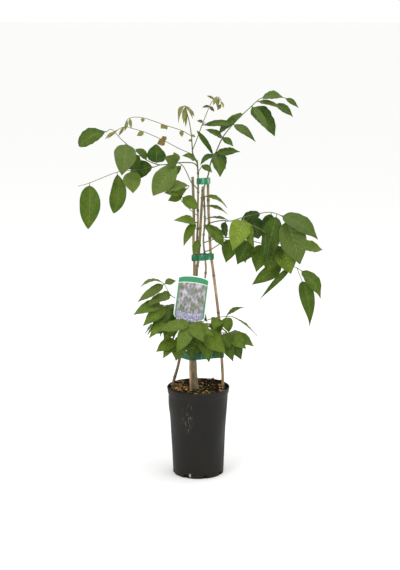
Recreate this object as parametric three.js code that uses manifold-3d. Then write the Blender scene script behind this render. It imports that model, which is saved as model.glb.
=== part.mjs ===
// Potted wisteria: a young climber tied to three bamboo canes in a tall black nursery pot.
// Millimetres, +Z up. The origin is the middle of the flat base that the pot stands on.
// The front looks along +Y, with +X to the right.

import * as THREE from 'three';
import { mergeVertices } from 'three/addons/utils/BufferGeometryUtils.js';
import Module from 'manifold-3d';

const wasm = await Module();
wasm.setup();

// Driving sizes
const CLEARANCE = 0.3;

const POT = {
  height: 228,
  rimRadius: 80,
  bodyRadius: 76,
  baseRadius: 65,
  wall: 1.6,
  floor: 2.4,
  footRound: 3,
  lipHeight: 18,
  lipStep: 2.4,
  lipRoll: 2.6,
  slots: 8,
  slotWide: 12,
  slotTall: 9,
  facets: 28,
};

const SOIL = {
  level: 221,
  relief: 2.2,
  mound: 7,
  moundFrom: -5,
  moundRun: 50,
  topRadius: 73.4,
  chips: 7,
};

const CANE_RADIUS = 3.8;
const BLADE_THICK = 0.9;
const PETIOLULE_RADIUS = 0.8;

const LABEL = {
  halfWide: 40,
  halfSide: 45,
  topRise: 12,
  bottomDrop: 17,
  thick: 0.9,
  centre: [-17, -33, 466],
  tilt: THREE.MathUtils.degToRad(7),
};

// Each cane's middle line, from its foot in the soil to its sawn top
const CANES = {
  cane_front: [[-17, -28, 70], [-18, -26, 222], [-19, -24, 303], [-10, -17, 520],
    [-12, -14, 607], [-11, -12, 680], [-14, -12, 768]],
  cane_left: [[-60, 4, 110], [-65, 6, 222], [-48, 8, 297], [-6, 7, 520], [1, 7, 568],
    [7, 7, 667], [12, 7, 741]],
  cane_right: [[60, 4, 100], [63, 4, 222], [60, 4, 300], [53, 4, 399], [38, 4, 525], [31, 4, 578],
    [26, 4, 677], [24, 4, 764]],
};

// The trunk and its two climbing stems: middle line and radius at each point
const TRUNK = [
  [-5, -4, 172, 8.4], [-6, -6, 216, 9.4], [-8, -8, 240, 7.6], [-11, -9, 300, 6.3],
  [-12, -8, 352, 6.0], [-10, -6, 400, 5.4],
];
const STEM_LEFT = [
  [-10, -6, 394, 4.4], [-11, -3, 440, 3.4], [-6, -4, 485, 3.0], [-3, -5, 530, 2.8],
  [-1, -4, 566, 2.7], [-3, -5, 607, 2.6], [-1, -4, 650, 2.5], [-1, -4, 690, 2.4],
  [0, -6, 752, 2.2], [-1, -4, 784, 2.0], [-3, -2, 808, 2.3],
];
const STEM_RIGHT = [
  [-10, -6, 396, 4.0], [0, -7, 432, 3.0], [12, -4, 476, 2.6], [19, 0, 528, 2.4],
  [17, -2, 562, 2.3], [13, -4, 607, 2.2], [16, -5, 650, 2.1], [16, -5, 690, 2.0],
  [14, -6, 735, 2.0], [20, -7, 757, 1.9], [26, -4, 776, 1.9], [28, 0, 792, 2.0],
];

const COLOUR = {
  pot: '#2e2d2a',
  soil: '#2f2a1c',
  cane: '#b59a78',
  tape: '#2f8f5f',
  bark: '#75664c',
  label: '#eef0ec',
  leaf: '#557031',
  leafDark: '#45621f',
  leafLight: '#76903b',
  young: '#93924f',
};

// Ways that a leaflet's upper side can look
const FRONT = [0, -1, 0.25];
const FRONT_UP = [0, -0.7, 0.7];
const FRONT_LEFT = [-0.6, -0.8, 0.3];
const FRONT_RIGHT = [0.6, -0.8, 0.3];
const UP = [0, -0.15, 1];
const UP_LEFT = [-0.6, -0.3, 0.7];
const BACK_UP = [0, 0.7, 0.7];
const EDGE_ON = [0.4, 0.15, 0.9];

// A leaflet grows at a knot of its stalk, and its tip is given in the part's frame
function leaflet(knot, tip, wide, face, form = {}) {
  return { knot, tip, wide, face, sag: 0.08, fold: 0.2, wave: 0.05, root: 0.6, point: 1.05, ...form };
}

function stalk(points, rootRadius, tipRadius, leaflets = []) {
  return { points, rootRadius, tipRadius, leaflets };
}

const FRONDS = [
  {
    name: 'leafy_stem_upper_left',
    colour: COLOUR.leaf,
    stalks: [
      stalk([[-1, -4, 790], [-13, -10, 802], [-50, -10, 803], [-94, -20, 799], [-126, -28, 811],
        [-142, -32, 825], [-184, -40, 860], [-210, -46, 888], [-223, -48, 884]], 1.5, 0.8, [
        leaflet(8, [-290, -74, 851], 45, FRONT_UP, { sag: 0.1, root: 0.8, point: 0.5 }),
        leaflet(5.85, [-186, -78, 780], 51, FRONT, { root: 0.5, point: 0.85 }),
        leaflet(5, [-176, -12, 787], 38, FRONT),
        leaflet(4, [-156, -12, 837], 20, FRONT_UP, { sag: 0.22 }),
        leaflet(3.3, [-103, -48, 853], 43, FRONT, { root: 0.5, point: 0.6 }),
      ]),
      stalk([[-94, -20, 799], [-120, -14, 790], [-162, -10, 785], [-201, -14, 780], [-269, -20, 754],
        [-298, -22, 746]], 1.2, 0.6, [
        leaflet(4, [-272, -52, 643], 49, FRONT, { sag: 0.05, point: 0.75 }),
        leaflet(3, [-209, -36, 680], 39, FRONT, { sag: 0.06, root: 0.75, point: 0.6 }),
        leaflet(2, [-161, -34, 730], 42, FRONT, { point: 0.9 }),
        leaflet(0.6, [-170, 16, 775], 40, FRONT, { sag: 0.12, point: 0.8 }),
      ]),
    ],
  },
  {
    name: 'frond_left_inner',
    colour: COLOUR.leaf,
    stalks: [
      stalk([[0, -6, 734], [-7, -21, 745], [-18, -23, 757], [-30, -26, 784], [-40, -30, 800],
        [-51, -36, 806]], 1.4, 0.9, [
        leaflet(5, [-110, -78, 730], 49, FRONT, {
          sag: 0.05,
          fold: 0.28,
          wave: 0.2,
          root: 0.8,
          point: 0.75,
        }),
        leaflet(5, [-83, -62, 823], 26, FRONT, { root: 0.5, point: 0.8 }),
        leaflet(5, [-60, -30, 832], 18, FRONT),
        leaflet(4, [-73, -12, 762], 17, FRONT),
      ]),
    ],
  },
  {
    name: 'frond_left_middle',
    colour: COLOUR.leaf,
    stalks: [
      stalk([[-1, -4, 670], [-3, -21, 674], [-12, -23, 680], [-28, -28, 697], [-43, -35, 718],
        [-24, -40, 738]], 1.3, 0.8, [
        leaflet(5, [-80, -62, 742], 30, FRONT_UP, { sag: 0.14, wave: 0.12, root: 0.85, point: 0.8 }),
        leaflet(4.8, [-84, -44, 732], 27, FRONT, { sag: 0.06 }),
        leaflet(4.3, [-75, -32, 711], 21, FRONT),
        leaflet(4.1, [0, -54, 694], 29, FRONT, { root: 0.7, point: 0.9 }),
      ]),
    ],
  },
  {
    name: 'young_frond_upper',
    on: 'shoot_tip_left',
    colour: COLOUR.young,
    stalks: [
      stalk([[-16, -2, 868], [-42, -10, 883], [-82, -20, 897], [-111, -26, 908], [-141, -32, 917],
        [-167, -36, 916], [-177, -39, 906]], 0.9, 0.7, [
        leaflet(1, [-40, -16, 867], 10, FRONT),
        leaflet(2, [-92, -24, 889], 13, FRONT),
        leaflet(2, [-76, -24, 886], 9, FRONT),
        leaflet(3.8, [-137, -36, 905], 9, FRONT),
        leaflet(5, [-163, -40, 890], 8, FRONT),
        leaflet(5.6, [-180, -42, 884], 8, FRONT),
      ]),
    ],
  },
  {
    name: 'young_frond_lower',
    on: 'shoot_tip_left',
    colour: COLOUR.young,
    stalks: [
      stalk([[-12, -2, 822], [-48, -14, 839], [-81, -26, 858], [-111, -36, 873], [-133, -44, 883],
        [-162, -50, 892], [-180, -54, 896], [-206, -60, 884]], 0.9, 0.7, [
        leaflet(2, [-101, -34, 852], 18, FRONT),
        leaflet(2, [-88, -20, 870], 14, FRONT),
        leaflet(4, [-150, -52, 874], 12, FRONT),
        leaflet(6, [-194, -58, 874], 7, FRONT),
        leaflet(6.6, [-220, -70, 868], 6, FRONT),
        leaflet(7, [-226, -84, 868], 6, FRONT),
      ]),
    ],
  },
  {
    name: 'shoot_tip_left',
    colour: COLOUR.young,
    stalks: [
      stalk([[-3, -2, 805], [-10, -2, 816], [-14, -2, 828], [-15, -2, 842], [-17, -2, 871],
        [-22, -2, 903], [-29, -2, 930], [-33, -3, 943]], 2.0, 0.8, [
        leaflet(7, [-50, -6, 920], 9, FRONT_LEFT, { sag: 0.22 }),
        leaflet(7, [-48, -20, 902], 8, FRONT_LEFT, { sag: 0.2 }),
        leaflet(6.8, [-36, -22, 900], 9, FRONT, { sag: 0.1 }),
        leaflet(6.8, [-31, -14, 890], 8, FRONT, { sag: 0.08 }),
        leaflet(7, [-14, -14, 912], 9, FRONT_RIGHT, { sag: 0.2 }),
        leaflet(6.6, [-10, 8, 916], 8, FRONT_RIGHT, { sag: 0.2 }),
        leaflet(6.5, [-40, 16, 908], 9, BACK_UP, { sag: 0.16 }),
        leaflet(4, [-6, -6, 866], 6, FRONT),
        leaflet(3.5, [-25, -6, 858], 6, FRONT),
      ]),
    ],
  },
  {
    name: 'shoot_tip_right',
    on: 'shoot_tip_left',
    colour: COLOUR.young,
    stalks: [
      stalk([[-14, -2, 834], [-5, 2, 856], [6, 4, 885], [22, 6, 927], [35, 8, 954], [46, 7, 964],
        [55, 4, 958], [56, -2, 946]], 1.2, 0.7, [
        leaflet(2, [18, 0, 902], 10, UP),
        leaflet(2.4, [-3, 6, 905], 9, FRONT_UP),
        leaflet(3.5, [40, -2, 928], 8, FRONT),
        leaflet(3.5, [10, 8, 938], 8, FRONT_UP),
        leaflet(4.4, [21, 0, 967], 8, FRONT_UP),
        leaflet(5, [36, -10, 944], 9, FRONT),
        leaflet(5.4, [47, -14, 938], 9, FRONT),
        leaflet(6.4, [62, -10, 938], 7, FRONT_RIGHT),
        leaflet(7, [47, -10, 932], 8, FRONT),
      ]),
    ],
  },
  {
    name: 'frond_crown_left',
    colour: COLOUR.leafDark,
    stalks: [
      stalk([[-2, -3, 796], [-5, -14, 806], [-8, -20, 810]], 1.2, 0.9, [
        leaflet(2, [-39, -42, 824], 20, FRONT_UP, { sag: 0.12 }),
      ]),
    ],
  },
  {
    name: 'frond_crown_right',
    colour: COLOUR.leafDark,
    stalks: [
      stalk([[-1, -4, 778], [6, -14, 790], [10, -18, 798]], 1.2, 0.9, [
        leaflet(2, [34, -46, 783], 18, FRONT_UP),
      ]),
    ],
  },
  {
    name: 'frond_upper_right',
    colour: COLOUR.leafDark,
    stalks: [
      stalk([[28, 0, 790], [34, 4, 810], [44, 4, 828], [61, 2, 865], [86, 0, 897], [112, -4, 924],
        [131, -8, 942], [142, -10, 953], [155, -12, 962], [183, -14, 969], [213, -18, 963]], 1.7, 0.7, [
        leaflet(8, [209, -38, 965], 27, FRONT_UP, { sag: 0.14 }),
        leaflet(10, [245, -32, 940], 14, FRONT_UP),
        leaflet(6, [187, -44, 872], 52, FRONT_RIGHT, { root: 0.48, point: 0.9 }),
        leaflet(6, [172, -66, 888], 24, FRONT_UP, { sag: 0.04 }),
        leaflet(4, [141, -34, 857], 22, FRONT_UP, { sag: 0.1 }),
        leaflet(5, [63, 28, 898], 24, FRONT_UP, { sag: -0.03 }),
        leaflet(4, [10, 26, 892], 21, FRONT_UP, { sag: 0.05 }),
        leaflet(3, [18, -30, 887], 23, FRONT_UP, { sag: 0.04 }),
        leaflet(4.4, [50, 34, 868], 27, FRONT_UP),
        leaflet(3, [86, -36, 846], 18, FRONT_UP, { sag: 0.04 }),
        leaflet(2, [103, -34, 833], 26, FRONT_UP, { sag: 0.02 }),
        leaflet(2, [54, -44, 772], 36, FRONT_RIGHT, { root: 0.75, point: 0.8 }),
        leaflet(2, [68, 30, 782], 30, FRONT_RIGHT),
        leaflet(1.7, [5, -28, 800], 19, FRONT_LEFT),
        leaflet(1.4, [-3, -6, 882], 14, FRONT_LEFT, { root: 0.8, point: 0.55 }),
      ]),
      stalk([[142, -10, 953], [166, -16, 957], [187, -20, 949]], 0.9, 0.7, [
        leaflet(0.2, [206, -46, 939], 15, FRONT_UP),
        leaflet(2, [231, -44, 919], 22, FRONT_UP),
      ]),
    ],
  },
  {
    name: 'frond_middle_right',
    colour: COLOUR.leaf,
    stalks: [
      stalk([[16, -5, 652], [18, -17, 658], [17, -24, 668], [13, -24, 696], [6, -22, 718]], 1.3, 0.9, [
        leaflet(4, [71, -44, 695], 22, UP, { sag: 0.16 }),
        leaflet(3, [71, -48, 681], 18, UP, { sag: 0.12 }),
        leaflet(1.6, [75, -52, 665], 18, UP, { sag: 0.08 }),
      ]),
    ],
  },
  {
    name: 'frond_middle_left',
    colour: COLOUR.leaf,
    stalks: [
      stalk([[-1, -4, 648], [-1, -20, 651], [-5, -25, 656]], 1.3, 0.9, [
        leaflet(2, [-60, -62, 667], 27, FRONT_UP, { sag: 0.08 }),
        leaflet(2, [-36, -54, 600], 21, FRONT),
      ]),
      stalk([[-1, -20, 651], [-3, -26, 636], [1, -28, 614]], 1.1, 0.9, [
        leaflet(2, [-13, -46, 575], 19, FRONT),
      ]),
    ],
  },
  {
    name: 'frond_middle_front',
    colour: COLOUR.leafDark,
    stalks: [
      stalk([[15, -5, 632], [17, -15, 642], [17, -21, 650]], 1.2, 0.9, [
        leaflet(2, [63, -48, 598], 34, FRONT_RIGHT, { sag: 0.12, point: 0.8 }),
      ]),
    ],
  },
  {
    name: 'frond_right_upper',
    colour: COLOUR.leaf,
    stalks: [
      stalk([[14, -5, 644], [20, -12, 646], [34, -8, 653], [59, -10, 658], [82, -16, 658],
        [116, -20, 669], [157, -24, 679], [182, -26, 681], [204, -28, 674], [215, -30, 664]], 1.6, 0.9, [
        leaflet(9, [251, -72, 558], 64, FRONT, { sag: 0.05, point: 0.9 }),
        leaflet(8, [296, -58, 618], 46, FRONT_UP, { sag: 0.16, point: 1 }),
        leaflet(7.6, [168, -58, 559], 46, FRONT, { sag: 0.04 }),
        leaflet(7, [168, 12, 612], 34, FRONT),
        leaflet(6, [98, -8, 645], 32, FRONT_UP, { sag: 0.02 }),
        leaflet(5.4, [152, 24, 606], 50, FRONT),
        leaflet(3.4, [70, 12, 611], 24, FRONT_LEFT),
      ]),
      stalk([[116, -20, 669], [112, -40, 666], [128, -52, 656], [150, -58, 646],
        [166, -60, 636]], 1.1, 0.9, [
        leaflet(1, [84, -92, 597], 51, FRONT, { sag: 0.06, root: 0.35, point: 0.9 }),
        leaflet(2, [138, -76, 600], 24, FRONT_LEFT, { sag: 0.12, wave: 0.1 }),
        leaflet(4, [160, -78, 574], 18, FRONT, { sag: 0.06 }),
      ]),
    ],
  },
  {
    name: 'frond_right_middle',
    colour: COLOUR.leafDark,
    stalks: [
      stalk([[13, -4, 600], [24, -13, 606], [50, -8, 613], [82, -4, 614], [126, 0, 608],
        [160, -10, 600], [200, -20, 602], [232, -24, 598], [251, -14, 594]], 1.4, 0.8, [
        leaflet(3, [69, -24, 553], 36, FRONT),
        leaflet(4, [97, -40, 552], 50, FRONT),
        leaflet(5, [144, -44, 533], 42, FRONT),
        leaflet(6, [172, -46, 532], 44, FRONT),
        leaflet(6.2, [231, -50, 530], 50, FRONT, { sag: 0.05, point: 0.9 }),
        leaflet(8, [313, 8, 580], 34, FRONT_UP),
        leaflet(7, [262, 44, 540], 34, BACK_UP),
      ]),
    ],
  },
  {
    name: 'frond_right_lower',
    colour: COLOUR.leaf,
    stalks: [
      stalk([[16, -3, 578], [30, -11, 584], [50, -8, 596], [67, 8, 606], [110, 14, 590],
        [170, 4, 560], [212, -14, 549], [232, -30, 546], [246, -36, 543], [254, -38, 538]], 1.4, 0.8, [
        leaflet(6, [134, -24, 497], 34, FRONT, { sag: 0.1 }),
        leaflet(7, [149, -64, 464], 15, FRONT, { sag: 0.04, wave: 0.25, point: 1.5 }),
        leaflet(9, [305, -52, 468], 38, FRONT_RIGHT, { sag: 0.14 }),
        leaflet(5, [196, 30, 500], 32, BACK_UP),
        leaflet(4, [120, 44, 540], 30, BACK_UP),
      ]),
      stalk([[246, -36, 543], [251, -42, 530], [256, -46, 518]], 0.9, 0.8, [
        leaflet(2, [277, -70, 396], 36, FRONT, { sag: 0.05, root: 0.6, point: 1.5 }),
      ]),
    ],
  },
  {
    name: 'frond_low_left_upper',
    colour: COLOUR.leaf,
    stalks: [
      stalk([[-11, -4, 446], [-26, -12, 450], [-46, -18, 458], [-68, -24, 470], [-85, -27, 500]], 1.4, 0.8, [
        leaflet(4, [-56, -14, 505], 18, FRONT_UP),
        leaflet(4, [-144, -50, 497], 22, UP, { sag: 0.2 }),
        leaflet(4, [-151, -66, 462], 25, FRONT_UP, { sag: 0.06 }),
        leaflet(3, [-130, -62, 450], 26, FRONT_UP, { sag: 0.12 }),
        leaflet(3, [-112, 26, 446], 26, UP_LEFT),
      ]),
    ],
  },
  {
    name: 'frond_low_left_middle',
    colour: COLOUR.leafDark,
    stalks: [
      stalk([[-11, -7, 416], [-34, -16, 428], [-66, -22, 440], [-92, -32, 448]], 1.4, 0.8, [
        leaflet(3, [-161, -74, 431], 34, FRONT_UP, { sag: 0.1 }),
        leaflet(2.6, [-138, -84, 404], 32, FRONT),
        leaflet(2.1, [-118, -66, 390], 32, FRONT),
        leaflet(1.6, [-96, -26, 384], 32, FRONT),
        leaflet(3, [-132, 8, 420], 30, UP_LEFT),
      ]),
      stalk([[-34, -16, 428], [-52, -32, 407], [-66, -46, 410]], 1.2, 0.9, [
        leaflet(2, [-122, -92, 376], 32, FRONT_LEFT),
        leaflet(1.6, [-86, -84, 366], 34, FRONT),
        leaflet(2, [-108, -30, 372], 28, FRONT_LEFT),
      ]),
    ],
  },
  {
    name: 'frond_low_front',
    colour: COLOUR.leafLight,
    stalks: [
      stalk([[-11, -8, 366], [-27, -20, 380], [-26, -42, 398], [-20, -62, 412], [-19, -78, 412]], 1.5, 1.0, [
        leaflet(4, [-98, -104, 398], 33, FRONT_UP, { sag: 0.03 }),
        leaflet(4, [-54, -118, 346], 36, FRONT, { sag: 0.06 }),
        leaflet(4, [14, -116, 371], 32, FRONT, { sag: 0.08 }),
        leaflet(4, [39, -102, 386], 28, FRONT_UP, { sag: 0.03 }),
      ]),
    ],
  },
  {
    name: 'frond_low_front_under',
    colour: COLOUR.leafDark,
    stalks: [
      stalk([[-11, -8, 374], [-3, -22, 380], [6, -44, 386], [14, -58, 388]], 1.4, 1.0, [
        leaflet(3, [69, -92, 336], 42, FRONT, { sag: 0.08 }),
        leaflet(3, [27, -90, 313], 40, FRONT, { sag: 0.06 }),
        leaflet(2, [-23, -84, 319], 50, FRONT, { sag: 0.06 }),
        leaflet(2, [50, -62, 356], 32, FRONT_RIGHT),
      ]),
    ],
  },
  {
    name: 'frond_low_left_lower',
    colour: COLOUR.leaf,
    stalks: [
      stalk([[-12, -8, 340], [-28, -26, 350], [-44, -40, 360], [-54, -52, 362]], 1.3, 0.9, [
        leaflet(3, [-105, -76, 337], 34, FRONT_UP, { sag: 0.08 }),
        leaflet(2.5, [-88, -74, 320], 32, FRONT_LEFT),
        leaflet(2, [-56, -86, 316], 38, FRONT, { sag: 0.06 }),
        leaflet(1.6, [-74, -10, 330], 28, UP_LEFT),
      ]),
    ],
  },
  {
    name: 'frond_low_right_upper',
    colour: COLOUR.leaf,
    stalks: [
      stalk([[-10, -6, 402], [10, -20, 402], [40, -16, 410], [70, -20, 415], [86, -24, 416]], 1.3, 0.8, [
        leaflet(3, [114, -36, 442], 18, UP_LEFT, { sag: 0.1 }),
        leaflet(3, [77, -27, 375], 27, FRONT, { sag: 0.04, root: 0.35, point: 0.85 }),
        leaflet(4, [147, -52, 373], 22, EDGE_ON, { sag: 0.04 }),
        leaflet(2.3, [37, -48, 384], 29, FRONT, { root: 0.35 }),
        leaflet(2.2, [48, -26, 366], 32, FRONT),
      ]),
    ],
  },
  {
    name: 'frond_low_right_lower',
    colour: COLOUR.leafDark,
    stalks: [
      stalk([[-12, -8, 346], [8, -22, 352], [36, -40, 370], [62, -50, 380], [86, -52, 378]], 1.4, 0.9, [
        leaflet(4, [139, -64, 348], 29, FRONT_UP, { sag: 0.04 }),
        leaflet(3, [82, -72, 343], 36, FRONT, { sag: 0.08 }),
        leaflet(4, [119, -82, 346], 32, FRONT),
        leaflet(3.6, [108, -60, 312], 34, FRONT),
        leaflet(2.8, [87, -78, 312], 34, FRONT, { sag: 0.04 }),
        leaflet(2, [57, -56, 314], 30, FRONT),
        leaflet(3.4, [120, 12, 340], 32, BACK_UP),
      ]),
    ],
  },
];

// The back of the skirt, which the photograph hides: one rule gives each frond by its heading
const BACK_FRONDS = [
  { name: 'frond_back_left', heading: 155, rootHeight: 384, leaf: COLOUR.leafDark },
  { name: 'frond_back', heading: 116, rootHeight: 418, leaf: COLOUR.leaf },
  { name: 'frond_back_right', heading: 64, rootHeight: 366, leaf: COLOUR.leafDark },
];
const FORK_HEIGHT = 396;
const BACK = {
  reach: 78,
  rise: 34,
  droop: 22,
  pairs: 3,
  leafReach: 52,
  leafDrop: 34,
  leafWide: 28,
  endReach: 62,
  endDrop: 44,
  endWide: 32,
};

// A repeatable wobble between -1 and 1
function wobble(a, b) {
  const wave = Math.sin(a * 12.9898 + b * 78.233) * 43758.5453;
  return 2 * (wave - Math.floor(wave)) - 1;
}

// Where a line of points crosses a height
function crossing(points, z) {
  const next = Math.max(1, points.findIndex((point) => point[2] >= z));
  const [low, high] = [points[next - 1], points[next]];
  const part = (z - low[2]) / (high[2] - low[2]);
  return [THREE.MathUtils.lerp(low[0], high[0], part), THREE.MathUtils.lerp(low[1], high[1], part)];
}

function backFrond({ name, heading, rootHeight, leaf }, index) {
  const angle = THREE.MathUtils.degToRad(heading);
  const out = new THREE.Vector3(Math.cos(angle), Math.sin(angle), 0);
  const across = new THREE.Vector3(-out.y, out.x, 0);
  const wood = rootHeight < FORK_HEIGHT ? TRUNK : STEM_LEFT;
  const root = new THREE.Vector3(...crossing(wood, rootHeight), rootHeight);
  const knots = [0, 0.35, 0.7, 1].map((share) => {
    const knot = root.clone().addScaledVector(out, BACK.reach * share);
    knot.z += BACK.rise * share - BACK.droop * share * share;
    return knot;
  });
  const leaflets = [];
  for (let pair = 1; pair <= BACK.pairs; pair += 1) {
    for (const side of [-1, 1]) {
      const tip = knots[pair].clone();
      tip.addScaledVector(across, side * (BACK.leafReach + 8 * wobble(index, pair)));
      tip.addScaledVector(out, 10 * pair);
      tip.z -= BACK.leafDrop + 12 * wobble(pair, index + side);
      const face = out.clone().multiplyScalar(0.5);
      face.addScaledVector(across, side * 0.3);
      face.z = 0.8;
      const wide = BACK.leafWide + 3 * wobble(index, side);
      leaflets.push(leaflet(pair, tip.toArray(), wide, face.toArray()));
    }
  }
  const end = knots[BACK.pairs].clone().addScaledVector(out, BACK.endReach);
  end.z -= BACK.endDrop;
  leaflets.push(leaflet(BACK.pairs, end.toArray(), BACK.endWide, [out.x * 0.6, out.y * 0.6, 0.8]));
  const points = knots.map((knot) => knot.toArray());
  return { name, colour: leaf, stalks: [stalk(points, 1.4, 0.9, leaflets)] };
}

// Solids from meshes, and back
function solidOf(geometry) {
  const bare = new THREE.BufferGeometry();
  bare.setAttribute('position', geometry.getAttribute('position').clone());
  if (geometry.index) bare.setIndex(geometry.index.clone());
  const merged = mergeVertices(bare, 1e-4);
  return new wasm.Manifold(new wasm.Mesh({
    numProp: 3,
    vertProperties: Float32Array.from(merged.getAttribute('position').array),
    triVerts: Uint32Array.from(merged.index.array),
  }));
}

function geometryOf(solid) {
  const { vertProperties, triVerts } = solid.getMesh();
  const geometry = new THREE.BufferGeometry();
  geometry.setAttribute('position', new THREE.BufferAttribute(vertProperties, 3));
  geometry.setIndex(new THREE.BufferAttribute(triVerts, 1));
  geometry.computeVertexNormals();
  return geometry;
}

function fused(geometries) {
  return geometries.map(solidOf).reduce((whole, next) => whole.add(next));
}

// A closed skin over rings of equal length, each listed counter-clockwise seen from its front.
// From quad number flip on, the quads are split along their other diagonal.
function skinOver(rings, flip = Infinity) {
  const count = rings[0].length;
  const positions = rings.flat().flatMap((point) => point.toArray());
  const faces = [];
  for (let ring = 0; ring + 1 < rings.length; ring += 1) {
    for (let k = 0; k < count; k += 1) {
      const a = ring * count + k;
      const b = ring * count + ((k + 1) % count);
      if (k < flip) faces.push(a, b, b + count, a, b + count, a + count);
      else faces.push(a, b, a + count, b, b + count, a + count);
    }
  }
  const last = (rings.length - 1) * count;
  for (let k = 1; k + 1 < count; k += 1) {
    faces.push(0, k + 1, k);
    faces.push(last, last + k, last + k + 1);
  }
  const geometry = new THREE.BufferGeometry();
  geometry.setAttribute('position', new THREE.Float32BufferAttribute(positions, 3));
  geometry.setIndex(faces);
  return geometry;
}

function curveThrough(points) {
  const knots = points.map(([x, y, z]) => new THREE.Vector3(x, y, z));
  return new THREE.CatmullRomCurve3(knots, false, 'catmullrom', 0.5);
}

// A round tube along a smooth line, with a ring at each knot and between knots if asked
function tube(points, radiusAt, stepsPerKnot, sides) {
  const curve = curveThrough(points);
  const steps = stepsPerKnot * (points.length - 1);
  const turnTo = new THREE.Quaternion();
  let tangent = curve.getTangent(0);
  let normal = new THREE.Vector3(0.3, 1, 0.2).cross(tangent).normalize();
  const rings = [];
  for (let step = 0; step <= steps; step += 1) {
    const next = curve.getTangent(step / steps);
    normal = normal.clone().applyQuaternion(turnTo.setFromUnitVectors(tangent, next));
    tangent = next;
    const binormal = tangent.clone().cross(normal);
    const middle = curve.getPoint(step / steps);
    const radius = radiusAt(step / stepsPerKnot, middle);
    rings.push(Array.from({ length: sides }, (_, k) => {
      const turn = (2 * Math.PI * k) / sides;
      return middle.clone()
        .addScaledVector(normal, radius * Math.cos(turn))
        .addScaledVector(binormal, radius * Math.sin(turn));
    }));
  }
  return skinOver(rings);
}

// Linear between the two knots on either side
function between(rows, knot) {
  const low = Math.min(Math.floor(knot), rows.length - 2);
  return rows[low].map((value, k) => THREE.MathUtils.lerp(value, rows[low + 1][k], knot - low));
}

// Leaflet outline: half width at a share of the blade's length. A larger root or point power
// draws that end in more sharply.
function outline(share, root, point) {
  const widest = root / (root + point);
  const peak = widest ** root * (1 - widest) ** point;
  return (share ** root * (1 - share) ** point) / peak;
}

// Shares of a leaflet's length at which its section is drawn: fewer on small ones
const RIBBED_LEAF = 92;
const LONG_LEAF = 67;
const SHORT_LEAF = 37;

function stationsOf(long) {
  if (long > LONG_LEAF) return [0, 0.06, 0.2, 0.46, 0.78, 1];
  if (long > SHORT_LEAF) return [0, 0.07, 0.26, 0.62, 1];
  return [0, 0.1, 0.5, 1];
}

// A leaflet: folded along its rib, arched and waved, with both faces split into triangles alike
function blade(origin, leaf) {
  const reach = new THREE.Vector3(...leaf.tip).sub(origin);
  const long = reach.length();
  const along = reach.clone().normalize();
  const up = new THREE.Vector3(...leaf.face);
  up.addScaledVector(along, -up.dot(along)).normalize();
  const across = new THREE.Vector3().crossVectors(up, along);
  const stations = stationsOf(long);
  const start = stations[1];
  const rings = stations.map((share) => {
    const open = share > start ? outline((share - start) / (1 - start), leaf.root, leaf.point) : 0;
    const half = Math.max(PETIOLULE_RADIUS, 0.5 * leaf.wide * open);
    const rib = origin.clone()
      .addScaledVector(reach, share)
      .addScaledVector(up, 4 * leaf.sag * long * share * (1 - share));
    const ripple = leaf.wave * leaf.wide * Math.sin(9 * share + leaf.knot);
    const lift = open > 0 ? leaf.fold * half : 0;
    const corner = (side, level) => rib.clone()
      .addScaledVector(across, side * half)
      .addScaledVector(up, Math.abs(side) * (lift + (open > 0 ? side * ripple : 0)) + level * BLADE_THICK);
    const under = long > RIBBED_LEAF ? [-1, 0, 1] : [-1, 1];
    const over = [...under].reverse();
    return [...under.map((side) => corner(side, -0.5)), ...over.map((side) => corner(side, 0.5))];
  });
  return skinOver(rings, rings[0].length / 2);
}

function stalkTube({ points, rootRadius, tipRadius }, extra = 0, sides = 4) {
  const last = points.length - 1;
  const radiusAt = (knot) => THREE.MathUtils.lerp(rootRadius, tipRadius, knot / last) + extra;
  return tube(points, radiusAt, 1, sides);
}

function frondSolid(stalks) {
  const pieces = [];
  for (const one of stalks) {
    pieces.push(stalkTube(one));
    for (const leaf of one.leaflets) {
      pieces.push(blade(new THREE.Vector3(...between(one.points, leaf.knot)), leaf));
    }
  }
  return fused(pieces);
}

// Canes taper a little and swell at their nodes
const CANE_NODES = { spacing: 96, swell: 0.14, sharpness: 16, taper: 0.00016 };

function caneTube(points, extra) {
  const radiusAt = (knot, middle) => {
    const { spacing, swell, sharpness, taper } = CANE_NODES;
    const wave = Math.cos((Math.PI * (middle.z + points[0][0])) / spacing) ** (2 * sharpness);
    return CANE_RADIUS * (1 + swell * wave - taper * middle.z) + extra;
  };
  return tube(points, radiusAt, 4, 6);
}

function trunkSolid(extra) {
  const tubes = [TRUNK, STEM_LEFT, STEM_RIGHT].map((rows) => {
    const radiusAt = (knot) => between(rows, knot)[3] + extra;
    return tube(rows, radiusAt, 2, 6);
  });
  return fused(tubes);
}

// Pot: one moulding with a flared, rolled lip and drainage slots round the edge of its base
function potSolid() {
  const { height, rimRadius, bodyRadius, baseRadius, wall, floor, footRound, lipStep, lipRoll } = POT;
  const lip = height - POT.lipHeight;
  const inside = baseRadius - wall;
  const profile = [
    [0, 0], [baseRadius - footRound, 0], [baseRadius, footRound],
    [bodyRadius, lip], [bodyRadius + lipStep, lip + 3],
    [rimRadius - 0.6, height - 4], [rimRadius, height - 1.6], [rimRadius - 0.8, height],
    [rimRadius - lipRoll, height - 0.6], [rimRadius - lipRoll, height - 4],
    [bodyRadius + lipStep - wall, lip + 4], [bodyRadius - wall, lip],
    [inside, floor + footRound], [inside - footRound, floor], [0, floor],
  ].map(([radius, z]) => new THREE.Vector2(radius, z));
  let pot = solidOf(new THREE.LatheGeometry(profile, POT.facets).rotateX(Math.PI / 2));
  for (let slot = 0; slot < POT.slots; slot += 1) {
    const cutter = new THREE.BoxGeometry(POT.slotWide, 9, 2 * POT.slotTall)
      .translate(0, baseRadius, 0)
      .rotateZ((2 * Math.PI * (slot + 0.35)) / POT.slots);
    pot = pot.subtract(solidOf(cutter));
  }
  return pot;
}

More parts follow.
